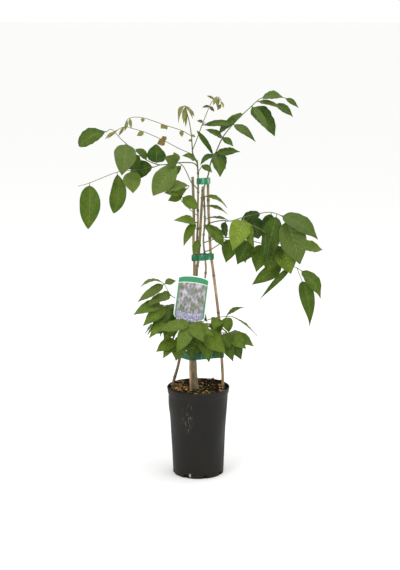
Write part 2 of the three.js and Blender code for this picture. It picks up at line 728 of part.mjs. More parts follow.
function soilHeight(x, y) {
  const broad = Math.sin(x / 17 + 1) * Math.cos(y / 14);
  const fine = Math.sin(x / 5.3) * Math.sin(y / 4.7 + 2);
  const towardsBack = THREE.MathUtils.clamp((y - SOIL.moundFrom) / SOIL.moundRun, 0, 1);
  return SOIL.level + SOIL.mound * towardsBack + SOIL.relief * (0.6 * broad + 0.5 * fine);
}

// Soil fills the pot, with bark chips half sunk in its top and plain holes for what stands in it
function soilSolid(standing) {
  const foot = POT.baseRadius - POT.wall - CLEARANCE - 3.4;
  const floor = POT.floor + CLEARANCE;
  const side = POT.bodyRadius - POT.wall - CLEARANCE;
  const profile = [
    [0, floor], [foot, floor], [foot + 2.6, floor + 4], [side - 0.2, POT.height - POT.lipHeight],
  ];
  for (let radius = SOIL.topRadius; radius > 1; radius -= 12) profile.push([radius, SOIL.level]);
  profile.push([0, SOIL.level]);
  const shape = new THREE.LatheGeometry(profile.map(([r, z]) => new THREE.Vector2(r, z)), 22);
  shape.rotateX(Math.PI / 2);
  const position = shape.getAttribute('position');
  for (let k = 0; k < position.count; k += 1) {
    if (position.getZ(k) > SOIL.level - 1) {
      position.setZ(k, soilHeight(position.getX(k), position.getY(k)));
    }
  }
  let soil = solidOf(shape);
  for (let chip = 0; chip < SOIL.chips; chip += 1) {
    const turn = chip * 2.4;
    const radius = 20 + 46 * Math.sqrt((chip + 0.5) / SOIL.chips);
    const x = radius * Math.cos(turn);
    const y = radius * Math.sin(turn);
    const box = new THREE.BoxGeometry(11 + 3 * wobble(chip, 1), 6 + 2 * wobble(chip, 2), 4)
      .rotateX(0.3 * wobble(chip, 3))
      .rotateZ(Math.PI * wobble(chip, 4))
      .translate(x, y, soilHeight(x, y) + 0.6);
    soil = soil.add(solidOf(box));
  }
  return standing.reduce((whole, stem) => whole.subtract(stem), soil);
}

// The outline of a band drawn tight round a set of round stems
function hullRound(circles, grow, count = 20) {
  return Array.from({ length: count }, (_, k) => {
    const turn = (2 * Math.PI * k) / count;
    const way = new THREE.Vector2(Math.cos(turn), Math.sin(turn));
    const reachOf = ([x, y, r]) => x * way.x + y * way.y + r;
    const [x, y, r] = circles.reduce((best, next) => (reachOf(next) > reachOf(best) ? next : best));
    return new THREE.Vector2(x, y).addScaledVector(way, r + grow);
  });
}

function bandSolid(circles, thick, bottom, top) {
  const shape = new THREE.Shape(hullRound(circles, CLEARANCE + thick));
  shape.holes.push(new THREE.Path(hullRound(circles, CLEARANCE)));
  const band = new THREE.ExtrudeGeometry(shape, { depth: top - bottom, bevelEnabled: false });
  return solidOf(band.translate(0, 0, bottom));
}

// A plastic tag with an arched top, tilted as it hangs, and its own strap round the front cane
function labelSolid() {
  const { halfWide, halfSide, topRise, bottomDrop, thick, centre, tilt } = LABEL;
  const shape = new THREE.Shape();
  shape.moveTo(halfWide, -halfSide);
  shape.lineTo(halfWide, halfSide);
  shape.absellipse(0, halfSide, halfWide, topRise, 0, Math.PI, false);
  shape.lineTo(-halfWide, -halfSide);
  shape.absellipse(0, -halfSide, halfWide, bottomDrop, Math.PI, 2 * Math.PI, false);
  const plate = new THREE.ExtrudeGeometry(shape, { depth: thick, bevelEnabled: false, curveSegments: 9 })
    .rotateX(Math.PI / 2)
    .rotateY(tilt)
    .translate(...centre);
  const height = centre[2] + 20;
  const [x, y] = crossing(CANES.cane_front, height);
  const ends = [[x, y, CANE_RADIUS + 0.4], [x, centre[1] + 4, 3]];
  const strap = bandSolid(ends, 1, height - 4, height + 4);
  return solidOf(plate).add(strap);
}

const material = (colour, roughness) =>
  new THREE.MeshStandardMaterial({ color: colour, roughness, metalness: 0 });

const part = new THREE.Group();

function place(name, solid, finish) {
  const mesh = new THREE.Mesh(geometryOf(solid), finish);
  mesh.name = name;
  part.add(mesh);
}

const trunkRoom = trunkSolid(CLEARANCE);
const caneRooms = Object.values(CANES).map((points) => solidOf(caneTube(points, CLEARANCE)));

place('pot', potSolid(), material(COLOUR.pot, 0.7));
place('soil', soilSolid([trunkRoom, ...caneRooms]), material(COLOUR.soil, 0.95));
for (const [name, points] of Object.entries(CANES)) {
  place(name, solidOf(caneTube(points, 0)), material(COLOUR.cane, 0.7));
}
place('trunk', trunkSolid(0), material(COLOUR.bark, 0.85));

// Green tape bands round the canes and stems
const TAPE = { thick: 0.8, tall: 14.5 };
const TIES = [
  { name: 'tie_low', middle: 310, holds: ['cane_front', 'cane_left', 'cane_right'], stems: [] },
  {
    name: 'tie_middle',
    middle: 564,
    holds: ['cane_front', 'cane_left', 'cane_right'],
    stems: [STEM_LEFT, STEM_RIGHT],
  },
  { name: 'tie_top', middle: 756, holds: ['cane_right'], stems: [STEM_LEFT, STEM_RIGHT] },
];
for (const { name, middle, holds, stems } of TIES) {
  const circles = [];
  for (const z of [middle - TAPE.tall / 2, middle, middle + TAPE.tall / 2]) {
    for (const cane of holds) circles.push([...crossing(CANES[cane], z), 1.12 * CANE_RADIUS]);
    for (const stem of stems) circles.push([...crossing(stem, z), 2.4]);
  }
  const band = bandSolid(circles, TAPE.thick, middle - TAPE.tall / 2, middle + TAPE.tall / 2);
  place(name, band, material(COLOUR.tape, 0.45));
}

place('label', labelSolid(), material(COLOUR.label, 0.4));

// Each frond ends just clear of the stem that it grows on
const fronds = [...FRONDS, ...BACK_FRONDS.map(backFrond)];
function stemRoom(host) {
  if (host === 'trunk') return trunkRoom;
  const { stalks } = fronds.find(({ name }) => name === host);
  return fused(stalks.map((one) => stalkTube(one, CLEARANCE, 8)));
}
for (const { name, on = 'trunk', colour, stalks } of fronds) {
  place(name, frondSolid(stalks).subtract(stemRoom(on)), material(colour, 0.6));
}

export default part;
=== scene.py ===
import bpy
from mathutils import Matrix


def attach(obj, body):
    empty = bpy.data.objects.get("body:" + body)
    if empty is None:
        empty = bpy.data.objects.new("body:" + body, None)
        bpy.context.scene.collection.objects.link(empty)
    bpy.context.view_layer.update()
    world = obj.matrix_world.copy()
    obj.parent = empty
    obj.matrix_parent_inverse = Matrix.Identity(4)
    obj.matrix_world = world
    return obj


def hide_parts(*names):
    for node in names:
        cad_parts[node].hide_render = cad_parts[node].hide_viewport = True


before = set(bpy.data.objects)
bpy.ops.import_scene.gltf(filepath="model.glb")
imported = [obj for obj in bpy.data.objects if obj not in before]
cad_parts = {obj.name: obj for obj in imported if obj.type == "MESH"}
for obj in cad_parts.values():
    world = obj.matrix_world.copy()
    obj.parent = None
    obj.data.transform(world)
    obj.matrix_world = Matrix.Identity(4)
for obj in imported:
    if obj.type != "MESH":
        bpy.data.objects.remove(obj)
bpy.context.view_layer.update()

import math
import re

import bmesh
import bpy
from mathutils import Matrix, Vector, noise

# Potted wisteria: a young climber tied to three bamboo canes in a tall black nursery pot.
# Metres, +Z up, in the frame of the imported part. The rows below are in millimetres.

bl_info = {
    "name": "Potted wisteria",
    "version": (1, 0, 0),
    "blender": (4, 5, 0),
    "location": "3D View > Sidebar > Wisteria",
    "description": "A young wisteria on bamboo canes in a nursery pot",
    "category": "Add Mesh",
}

MM = 0.001
BODY = "root"


def linear(text):
    """An sRGB hex colour as the linear RGBA that Blender's sockets take."""
    values = [int(text[k : k + 2], 16) / 255 for k in (1, 3, 5)]
    return [v / 12.92 if v <= 0.04045 else ((v + 0.055) / 1.055) ** 2.4 for v in values] + [1.0]


def clamp(value):
    """The value, kept between 0 and 1."""
    return min(max(value, 0), 1)


def wobble(a, b):
    """A repeatable wobble between -1 and 1."""
    wave = math.sin(a * 12.9898 + b * 78.233) * 43758.5453
    return 2 * (wave - math.floor(wave)) - 1


# Sizes of the plant, its pot and what holds it

CLEARANCE = 0.3

POT = dict(
    height=228, rim=80, body=76, base=65, wall=1.6, floor=2.4, foot=3, lip=18, step=2.4, roll=2.6,
    slots=8, slot_wide=12, slot_tall=9,
)
SOIL = dict(level=221, relief=2.2, radius=73.4, mound=7, mound_from=-5, mound_run=50)
LABEL = dict(
    half_wide=40, half_side=45, rise=12, drop=17, thick=0.9, centre=(-17, -33, 466), tilt=7,
    strap_rise=20, strap_half_tall=4, strap_thick=1.0,
)

# Each cane's middle line, from its foot in the soil to its sawn top
CANE_RADIUS = 3.8
CANES = {
    "cane_front": [(-17, -28, 70), (-18, -26, 222), (-19, -24, 303), (-10, -17, 520),
                   (-12, -14, 607), (-11, -12, 680), (-14, -12, 768)],
    "cane_left": [(-60, 4, 110), (-65, 6, 222), (-48, 8, 297), (-6, 7, 520), (1, 7, 568),
                  (7, 7, 667), (12, 7, 741)],
    "cane_right": [(60, 4, 100), (63, 4, 222), (60, 4, 300), (53, 4, 399), (38, 4, 525),
                   (31, 4, 578), (26, 4, 677), (24, 4, 764)],
}

# The strip of painted shade on the front cane beside the trunk, reddish with some peeling skin:
# from which x it grows to its full strength over reach, the heights between which it is strong, and
# over how many millimetres it fades at the top
SHADE_AND_PEELING = dict(start=-18.9, reach=2.2, low=225, high=312, fade=20, strength=0.9, below=0.4)

# The trunk and its two climbing stems: middle line and radius at each knot
TRUNK = [
    (-5, -4, 172, 8.4), (-6, -6, 216, 9.4), (-8, -8, 240, 7.6), (-11, -9, 300, 6.3),
    (-12, -8, 352, 6.0), (-10, -6, 400, 5.4),
]
STEM_LEFT = [
    (-10, -6, 394, 4.4), (-11, -3, 440, 3.4), (-6, -4, 485, 3.0), (-3, -5, 530, 2.8),
    (-1, -4, 566, 2.7), (-3, -5, 607, 2.6), (-1, -4, 650, 2.5), (-1, -4, 690, 2.4),
    (0, -6, 752, 2.2), (-1, -4, 784, 2.0), (-3, -2, 808, 2.3),
]
STEM_RIGHT = [
    (-10, -6, 396, 4.0), (0, -7, 432, 3.0), (12, -4, 476, 2.6), (19, 0, 528, 2.4),
    (17, -2, 562, 2.3), (13, -4, 607, 2.2), (16, -5, 650, 2.1), (16, -5, 690, 2.0),
    (14, -6, 735, 2.0), (20, -7, 757, 1.9), (26, -4, 776, 1.9), (28, 0, 792, 2.0),
]

# Green tape: the height of each band, the canes and stems that it holds, and its tint, which is
# painted shade: the lower bands are darker, and the low one, in the shade of the leaves, is
# darkest. The tape is wound round a cane's swollen nodes, and round a stem of stem_radius
TAPE = dict(thick=0.8, tall=14.5, lap=0.25, node_swell=1.12, stem_radius=2.4)
TIES = {
    "tie_low": (310, ["cane_front", "cane_left", "cane_right"], [], -0.36),
    "tie_middle": (564, ["cane_front", "cane_left", "cane_right"], [STEM_LEFT, STEM_RIGHT], -0.16),
    "tie_top": (756, ["cane_right"], [STEM_LEFT, STEM_RIGHT], -0.12),
}

# Ways that a leaflet's upper side can look
FRONT = (0, -1, 0.25)
FRONT_UP = (0, -0.7, 0.7)
FRONT_LEFT = (-0.6, -0.8, 0.3)
FRONT_RIGHT = (0.6, -0.8, 0.3)
UP = (0, -0.15, 1)
UP_LEFT = (-0.6, -0.3, 0.7)
BACK_UP = (0, 0.7, 0.7)
EDGE_ON = (0.4, 0.15, 0.9)

# The usual leaflet. sag arches it, fold lifts its sides and wave ripples them, higher root and
# point make its ends slimmer, tint is lighter above 0 and darker below, the sheen share lays a
# painted grey sheen over a green leaflet and the brown tone of a bud over a young one, and sway
# bends the rib sideways
LEAFLET = dict(sag=0.08, fold=0.2, wave=0.05, root=0.6, point=1.05, tint=0.0, bloom=0.0, sway=0.0)

# A leaflet longer than this has a shorter bare petiolule, as a share of its length
LONG_LEAFLET = 66
PETIOLULE_SHARE = dict(long=0.06, short=0.08)

# What the frond tree reads from the vertex of each leaflet
LEAFLET_SIZES = "start root point peak wide fold wave sag phase sway seed".split()
LEAFLET_WAYS = ["reach", "up", "across"]


def leaflet(knot, tip, wide, face, **form):
    """A leaflet grows at a knot of its stalk, and its tip is given in the part's frame."""
    return {**LEAFLET, "knot": knot, "tip": tip, "wide": wide, "face": face, **form}


def stalk(points, root_radius, tip_radius, *leaflets):
    """A stalk tapers along its points, and a leaflet's knot counts along them from 0."""
    return dict(points=points, root_radius=root_radius, tip_radius=tip_radius, leaflets=leaflets)


def frond(name, slot, *stalks):
    """One node of the part: stalks with their leaflets. slot says which green it has."""
    return dict(name=name, slot=slot, stalks=stalks)


FRONDS = [
    frond("leafy_stem_upper_left", "leaf", stalk(
        [(-1, -4, 790), (-13, -10, 802), (-50, -10, 803), (-94, -20, 799), (-126, -28, 811),
         (-142, -32, 825), (-184, -40, 860), (-210, -46, 888), (-223, -48, 884)], 1.5, 0.8,
        leaflet(8, (-290, -74, 851), 45, FRONT_UP, sag=0.1, root=0.8, point=0.5, tint=-0.14),
        leaflet(5.85, (-186, -78, 780), 51, FRONT, root=0.5, point=0.85, bloom=0.6, sway=0.05),
        leaflet(5, (-176, -12, 787), 38, FRONT, tint=-0.15),
        leaflet(4, (-156, -12, 837), 20, FRONT_UP, sag=0.22, tint=-0.12),
        leaflet(3.3, (-103, -48, 853), 43, FRONT, root=0.5, point=0.6, tint=-0.12),
    ), stalk(
        [(-94, -20, 799), (-120, -14, 790), (-162, -10, 785), (-201, -14, 780),
         (-269, -20, 754), (-298, -22, 746)], 1.2, 0.6,
        leaflet(4, (-272, -52, 643), 49, FRONT, sag=0.05, point=0.75, tint=-0.08, sway=0.05),
        leaflet(3, (-209, -36, 680), 39, FRONT, sag=0.06, root=0.75, point=0.6, sway=0.05),
        leaflet(2, (-161, -34, 730), 42, FRONT, point=0.9, tint=0.32, bloom=0.55),
        leaflet(0.6, (-170, 16, 775), 40, FRONT, sag=0.12, point=0.8, tint=-0.14),
    )),
    frond("frond_left_inner", "leaf", stalk(
        [(0, -6, 734), (-7, -21, 745), (-18, -23, 757), (-30, -26, 784), (-40, -30, 800),
         (-51, -36, 806)], 1.4, 0.9,
        leaflet(5, (-110, -78, 730), 49, FRONT, sag=0.05, fold=0.28, wave=0.2, root=0.8,
                point=0.75, tint=0.16, bloom=0.6, sway=-0.05),
        leaflet(5, (-83, -62, 823), 26, FRONT, root=0.5, point=0.8, bloom=0.3),
        leaflet(5, (-60, -30, 832), 18, FRONT, bloom=0.4),
        leaflet(4, (-73, -12, 762), 17, FRONT, tint=0.06),
    )),
    frond("frond_left_middle", "leaf", stalk(
        [(-1, -4, 670), (-3, -21, 674), (-12, -23, 680), (-28, -28, 697), (-43, -35, 718),
         (-22, -40, 749)], 1.3, 0.8,
        leaflet(5, (-80, -62, 742), 30, FRONT_UP, sag=0.14, wave=0.12, root=0.85, point=0.8,
                tint=0.22, bloom=0.5),
        leaflet(4.8, (-84, -44, 732), 27, FRONT, sag=0.06, tint=0.26, bloom=0.4),
        leaflet(4.3, (-75, -32, 711), 21, FRONT, tint=-0.04),
        leaflet(4.1, (0, -54, 694), 29, FRONT, root=0.7, point=0.9, tint=0.02, sway=0.04),
    )),
    frond("young_frond_upper", "young_growth", stalk(
        [(-16, -2, 868), (-42, -10, 883), (-82, -20, 897), (-111, -26, 908), (-141, -32, 917),
         (-167, -36, 916), (-177, -39, 906)], 0.9, 0.7,
        leaflet(1, (-40, -16, 867), 10, FRONT),
        leaflet(2, (-92, -24, 889), 13, FRONT, bloom=0.4),
        leaflet(2, (-76, -24, 886), 9, FRONT),
        leaflet(3.8, (-137, -36, 905), 9, FRONT),
        leaflet(5, (-163, -40, 890), 8, FRONT),
        leaflet(5.6, (-180, -42, 884), 8, FRONT),
    )),
    frond("young_frond_lower", "young_growth", stalk(
        [(-12, -2, 822), (-48, -14, 839), (-81, -26, 858), (-111, -36, 873), (-133, -44, 883),
         (-162, -50, 892), (-180, -54, 896), (-206, -60, 884)], 0.9, 0.7,
        leaflet(2, (-101, -34, 852), 18, FRONT, bloom=0.8),
        leaflet(2, (-88, -20, 870), 14, FRONT, bloom=0.8),
        leaflet(4, (-150, -52, 874), 12, FRONT),
        leaflet(6, (-194, -58, 874), 7, FRONT),
        leaflet(6.6, (-220, -70, 868), 6, FRONT),
        leaflet(7, (-226, -84, 868), 6, FRONT),
    )),
    frond("shoot_tip_left", "young_growth", stalk(
        [(-3, -2, 805), (-10, -2, 816), (-14, -2, 828), (-15, -2, 842), (-17, -2, 871),
         (-22, -2, 903), (-29, -2, 930), (-33, -3, 943)], 2.0, 0.8,
        leaflet(7, (-50, -6, 920), 9, FRONT_LEFT, sag=0.22),
        leaflet(7, (-48, -20, 902), 8, FRONT_LEFT, sag=0.2),
        leaflet(6.8, (-36, -22, 900), 9, FRONT, sag=0.1),
        leaflet(6.8, (-31, -14, 890), 8, FRONT, sag=0.08),
        leaflet(7, (-14, -14, 912), 9, FRONT_RIGHT, sag=0.2),
        leaflet(6.6, (-10, 8, 916), 8, FRONT_RIGHT, sag=0.2),
        leaflet(6.5, (-40, 16, 908), 9, BACK_UP, sag=0.16),
        leaflet(4, (-6, -6, 866), 6, FRONT),
        leaflet(3.5, (-25, -6, 858), 6, FRONT),
    )),
    frond("shoot_tip_right", "young_growth", stalk(
        [(-14, -2, 834), (-5, 2, 856), (6, 4, 885), (22, 6, 927), (35, 8, 954), (46, 7, 964),
         (55, 4, 958), (56, -2, 946)], 1.2, 0.7,
        leaflet(2, (18, 0, 902), 10, UP, tint=-0.4),
        leaflet(2.4, (-3, 6, 905), 9, FRONT_UP, tint=-0.3),
        leaflet(3.5, (40, -2, 928), 8, FRONT, tint=-0.35),
        leaflet(3.5, (10, 8, 938), 8, FRONT_UP, tint=-0.35),
        leaflet(4.4, (21, 0, 967), 8, FRONT_UP, tint=-0.15),
        leaflet(5, (36, -10, 944), 9, FRONT),
        leaflet(5.4, (47, -14, 938), 9, FRONT, tint=-0.1),
        leaflet(6.4, (62, -10, 938), 7, FRONT_RIGHT),
        leaflet(7, (47, -10, 932), 8, FRONT),
    )),
    frond("frond_crown_left", "leaf_dark", stalk(
        [(-2, -3, 796), (-5, -14, 806), (-8, -20, 810)], 1.2, 0.9,
        leaflet(2, (-39, -42, 824), 20, FRONT_UP, sag=0.12),
    )),
    frond("frond_crown_right", "leaf_dark", stalk(
        [(-1, -4, 778), (6, -14, 790), (10, -18, 798)], 1.2, 0.9,
        leaflet(2, (34, -46, 783), 18, FRONT_UP),
    )),
    frond("frond_upper_right", "leaf_dark", stalk(
        [(28, 0, 790), (34, 4, 810), (44, 4, 828), (61, 2, 865), (86, 0, 897), (112, -4, 924),
         (131, -8, 942), (142, -10, 953), (155, -12, 962), (183, -14, 969), (213, -18, 963)],
        1.7, 0.7,
        leaflet(8, (209, -38, 965), 27, FRONT_UP, sag=0.14, tint=0.1, bloom=0.4),
        leaflet(10, (245, -32, 940), 14, FRONT_UP),
        leaflet(6, (187, -44, 872), 52, FRONT_RIGHT, root=0.48, point=0.9, tint=-0.12),
        leaflet(6, (172, -66, 888), 24, FRONT_UP, sag=0.04, tint=0.02, bloom=0.4),
        leaflet(4, (141, -34, 857), 22, FRONT_UP, sag=0.1, tint=0.05, bloom=0.4),
        leaflet(5, (63, 28, 898), 24, FRONT_UP, sag=-0.03),
        leaflet(4, (10, 26, 892), 21, FRONT_UP, sag=0.05),
        leaflet(3, (18, -30, 887), 23, FRONT_UP, sag=0.04),
        leaflet(4.4, (50, 34, 868), 27, FRONT_UP),
        leaflet(3, (86, -36, 846), 18, FRONT_UP, sag=0.04),
        leaflet(2, (103, -34, 833), 26, FRONT_UP, sag=0.02),
        leaflet(2, (54, -44, 772), 36, FRONT_RIGHT, root=0.75, point=0.8, sway=-0.1),
        leaflet(2, (68, 30, 782), 30, FRONT_RIGHT),
        leaflet(1.7, (5, -28, 800), 19, FRONT_LEFT),
        leaflet(1.4, (-3, -6, 882), 14, FRONT_LEFT, root=0.8, point=0.55, sway=-0.08),
    ), stalk(
        [(142, -10, 953), (166, -16, 957), (187, -20, 949)], 0.9, 0.7,
        leaflet(0.2, (206, -46, 939), 15, FRONT_UP, tint=0.08, bloom=0.5),
        leaflet(2, (231, -44, 919), 22, FRONT_UP),
    )),
    frond("frond_middle_right", "leaf", stalk(
        [(16, -5, 652), (18, -17, 658), (17, -24, 668), (13, -24, 696), (6, -22, 718)],
        1.3, 0.9,
        leaflet(4, (71, -44, 695), 22, UP, sag=0.16),
        leaflet(3, (71, -48, 681), 18, UP, sag=0.12),
        leaflet(1.6, (75, -52, 665), 18, UP, sag=0.08),
    )),
    frond("frond_middle_left", "leaf", stalk(
        [(-1, -4, 648), (-1, -20, 651), (-5, -25, 656)], 1.3, 0.9,
        leaflet(2, (-60, -62, 667), 27, FRONT_UP, sag=0.08, tint=0.14),
        leaflet(2, (-36, -54, 600), 21, FRONT, sway=-0.07),
    ), stalk(
        [(-1, -20, 651), (-3, -26, 636), (1, -28, 614)], 1.1, 0.9,
        leaflet(2, (-13, -46, 575), 19, FRONT),
    )),
    frond("frond_middle_front", "leaf_dark", stalk(
        [(15, -5, 632), (17, -15, 642), (17, -21, 650)], 1.2, 0.9,
        leaflet(2, (63, -48, 598), 34, FRONT_RIGHT, sag=0.12, point=0.8, tint=0.16),
    )),
    frond("frond_right_upper", "leaf", stalk(
        [(14, -5, 644), (20, -12, 646), (34, -8, 653), (59, -10, 658), (82, -16, 658),
         (116, -20, 669), (157, -24, 679), (182, -26, 681), (204, -28, 674), (215, -30, 664)],
        1.6, 0.9,
        leaflet(9, (251, -72, 558), 64, FRONT, sag=0.05, point=0.9, tint=-0.05, bloom=0.5),
        leaflet(8, (296, -58, 618), 46, FRONT_UP, sag=0.16, point=1, tint=-0.14, bloom=0.4),
        leaflet(7.6, (168, -58, 559), 46, FRONT, sag=0.04, tint=-0.26),
        leaflet(7, (168, 12, 612), 34, FRONT, tint=-0.25),
        leaflet(6, (98, -8, 645), 32, FRONT_UP, sag=0.02, tint=-0.3),
        leaflet(5.4, (152, 24, 606), 50, FRONT, tint=-0.25),
        leaflet(3.4, (70, 12, 611), 24, FRONT_LEFT, tint=-0.25),
    ), stalk(
        [(116, -20, 669), (112, -40, 666), (128, -52, 656), (150, -58, 646), (166, -60, 636)],
        1.1, 0.9,
        leaflet(1, (84, -92, 597), 51, FRONT, sag=0.06, root=0.35, point=0.9, tint=0.3),
        leaflet(2, (138, -76, 600), 24, FRONT_LEFT, sag=0.12, wave=0.1, tint=0.12),
        leaflet(4, (160, -78, 574), 18, FRONT, sag=0.06, tint=-0.22),
    )),
    frond("frond_right_middle", "leaf_dark", stalk(
        [(13, -4, 600), (24, -13, 606), (50, -8, 613), (82, -4, 614), (126, 0, 608),
         (160, -10, 600), (200, -20, 602), (232, -24, 598), (251, -14, 594)], 1.4, 0.8,
        leaflet(3, (69, -24, 553), 36, FRONT, tint=0.05),
        leaflet(4, (97, -40, 552), 50, FRONT),
        leaflet(5, (144, -44, 533), 42, FRONT, tint=0.1),
        leaflet(6, (172, -46, 532), 44, FRONT, tint=0.06),
        leaflet(6.2, (231, -50, 530), 50, FRONT, sag=0.05, point=0.9, tint=0.32),
        leaflet(8, (313, 8, 580), 34, FRONT_UP, tint=0.28),
        leaflet(7, (262, 44, 540), 34, BACK_UP, tint=-0.1),
    )),
    frond("frond_right_lower", "leaf", stalk(
        [(16, -3, 578), (30, -11, 584), (50, -8, 596), (67, 8, 606), (110, 14, 590),
         (170, 4, 560), (212, -14, 549), (232, -30, 546), (246, -36, 543), (254, -38, 538)],
        1.4, 0.8,
        leaflet(6, (134, -24, 497), 34, FRONT, sag=0.1, tint=-0.05),
        leaflet(7, (149, -64, 464), 15, FRONT, sag=0.04, wave=0.25, point=1.5, tint=-0.22),
        leaflet(9, (305, -52, 468), 38, FRONT_RIGHT, sag=0.14, tint=-0.12),
        leaflet(5, (196, 30, 500), 32, BACK_UP, tint=-0.2),
        leaflet(4, (120, 44, 540), 30, BACK_UP, tint=-0.2),
    ), stalk(
        [(246, -36, 543), (251, -42, 530), (256, -46, 518)], 0.9, 0.8,
        leaflet(2, (277, -70, 396), 36, FRONT, sag=0.05, root=0.6, point=1.5, tint=-0.06,
                sway=0.05),
    )),
    frond("frond_low_left_upper", "leaf", stalk(
        [(-11, -4, 446), (-26, -12, 450), (-46, -18, 458), (-68, -24, 470), (-85, -27, 500)],
        1.4, 0.8,
        leaflet(4, (-56, -14, 505), 18, FRONT_UP, tint=0.05, bloom=0.4),
        leaflet(4, (-144, -50, 497), 22, UP, sag=0.2, tint=0.05, bloom=0.5),
        leaflet(4, (-151, -66, 462), 25, FRONT_UP, sag=0.06, tint=0.08, bloom=0.5),
        leaflet(3, (-130, -62, 450), 26, FRONT_UP, sag=0.12, tint=0.12, bloom=0.3),
        leaflet(3, (-112, 26, 446), 26, UP_LEFT),
    )),
    frond("frond_low_left_middle", "leaf_dark", stalk(
        [(-11, -7, 416), (-34, -16, 428), (-66, -22, 440), (-92, -32, 448)], 1.4, 0.8,
        leaflet(3, (-161, -74, 431), 34, FRONT_UP, sag=0.1, tint=0.26, bloom=0.3),
        leaflet(2.6, (-138, -84, 404), 32, FRONT, tint=0.16),
        leaflet(2.1, (-118, -66, 390), 32, FRONT),
        leaflet(1.6, (-96, -26, 384), 32, FRONT),
        leaflet(3, (-132, 8, 420), 30, UP_LEFT),
    ), stalk(
        [(-34, -16, 428), (-52, -32, 407), (-66, -46, 410)], 1.2, 0.9,
        leaflet(2, (-122, -92, 376), 32, FRONT_LEFT, tint=0.16),
        leaflet(1.6, (-86, -84, 366), 34, FRONT, tint=0.14),
        leaflet(2, (-108, -30, 372), 28, FRONT_LEFT),
    )),
    frond("frond_low_front", "leaf_light", stalk(
        [(-11, -8, 366), (-27, -20, 380), (-26, -42, 398), (-20, -62, 412), (-19, -78, 412)],
        1.5, 1,
        leaflet(4, (-98, -104, 398), 33, FRONT_UP, sag=0.03, bloom=0.25),
        leaflet(4, (-54, -118, 346), 36, FRONT, sag=0.06, bloom=0.25),
        leaflet(4, (14, -116, 371), 32, FRONT, sag=0.08, bloom=0.2),
        leaflet(4, (39, -102, 386), 28, FRONT_UP, sag=0.03),
    )),
    frond("frond_low_front_under", "leaf_dark", stalk(
        [(-11, -8, 374), (-3, -22, 380), (6, -44, 386), (14, -58, 388)], 1.4, 1,
        leaflet(3, (69, -92, 336), 42, FRONT, sag=0.08, tint=0.2),
        leaflet(3, (27, -90, 313), 40, FRONT, sag=0.06, tint=0.14),
        leaflet(2, (-23, -84, 319), 50, FRONT, sag=0.06),
        leaflet(2, (50, -62, 356), 32, FRONT_RIGHT),
    )),
    frond("frond_low_left_lower", "leaf", stalk(
        [(-12, -8, 340), (-28, -26, 350), (-44, -40, 360), (-54, -52, 362)], 1.3, 0.9,
        leaflet(3, (-105, -76, 337), 34, FRONT_UP, sag=0.08, tint=0.16),
        leaflet(2.5, (-88, -74, 320), 32, FRONT_LEFT, tint=0.14),
        leaflet(2, (-56, -86, 316), 38, FRONT, sag=0.06, tint=0.12),
        leaflet(1.6, (-74, -10, 330), 28, UP_LEFT),
    )),
    frond("frond_low_right_upper", "leaf", stalk(
        [(-10, -6, 402), (10, -20, 402), (40, -16, 410), (70, -20, 415), (86, -24, 416)],
        1.3, 0.8,
        leaflet(3, (114, -36, 442), 18, UP_LEFT, sag=0.1),
        leaflet(3, (77, -27, 375), 27, FRONT, sag=0.04, root=0.35, point=0.85, tint=0.08),
        leaflet(4, (147, -52, 373), 22, EDGE_ON, sag=0.04),
        leaflet(2.3, (37, -48, 384), 29, FRONT, root=0.35, tint=0.14),
        leaflet(2.2, (48, -26, 366), 32, FRONT),
    )),
    frond("frond_low_right_lower", "leaf_dark", stalk(
        [(-12, -8, 346), (8, -22, 352), (36, -40, 370), (62, -50, 380), (86, -52, 378)],
        1.4, 0.9,
        leaflet(4, (139, -64, 348), 29, FRONT_UP, sag=0.04, tint=0.16),
        leaflet(3, (82, -72, 343), 36, FRONT, sag=0.08, tint=0.08),
        leaflet(4, (119, -82, 346), 32, FRONT, tint=0.12),
        leaflet(3.6, (108, -60, 312), 34, FRONT),
        leaflet(2.8, (87, -78, 312), 34, FRONT, sag=0.04),
        leaflet(2, (57, -56, 314), 30, FRONT),
        leaflet(3.4, (120, 12, 340), 32, BACK_UP),
    )),
]

# The fronds at the back of the low skirt: name, heading in degrees, height of the root and slot
BACK_FRONDS = [
    ("frond_back_left", 155, 384, "leaf_dark"),
    ("frond_back", 116, 418, "leaf"),
    ("frond_back_right", 64, 366, "leaf_dark"),
]
FORK_HEIGHT = 396
# Sizes of each: lead is how much further out each pair of leaflets points than the last, and
# the wobbles are how far one leaflet's reach, drop and width may differ from the next one's
BACK = dict(
    reach=78, rise=34, droop=22, root_radius=1.4, tip_radius=0.9, pairs=3, leaf_reach=52,
    leaf_drop=34, leaf_wide=28, lead=10, reach_wobble=8, drop_wobble=12, wide_wobble=3,
    end_reach=62, end_drop=44, end_wide=32,
)


def between(rows, knot):
    """Linear between the two knots on either side."""
    low = min(int(knot), len(rows) - 2)
    return [a + (b - a) * (knot - low) for a, b in zip(rows[low], rows[low + 1])]


def crossing(points, z):
    """Where a line of points crosses a height."""
    high = max(1, next(k for k, point in enumerate(points) if point[2] >= z))
    low, top = points[high - 1], points[high]
    part = (z - low[2]) / (top[2] - low[2])
    return [low[k] + (top[k] - low[k]) * part for k in (0, 1)]


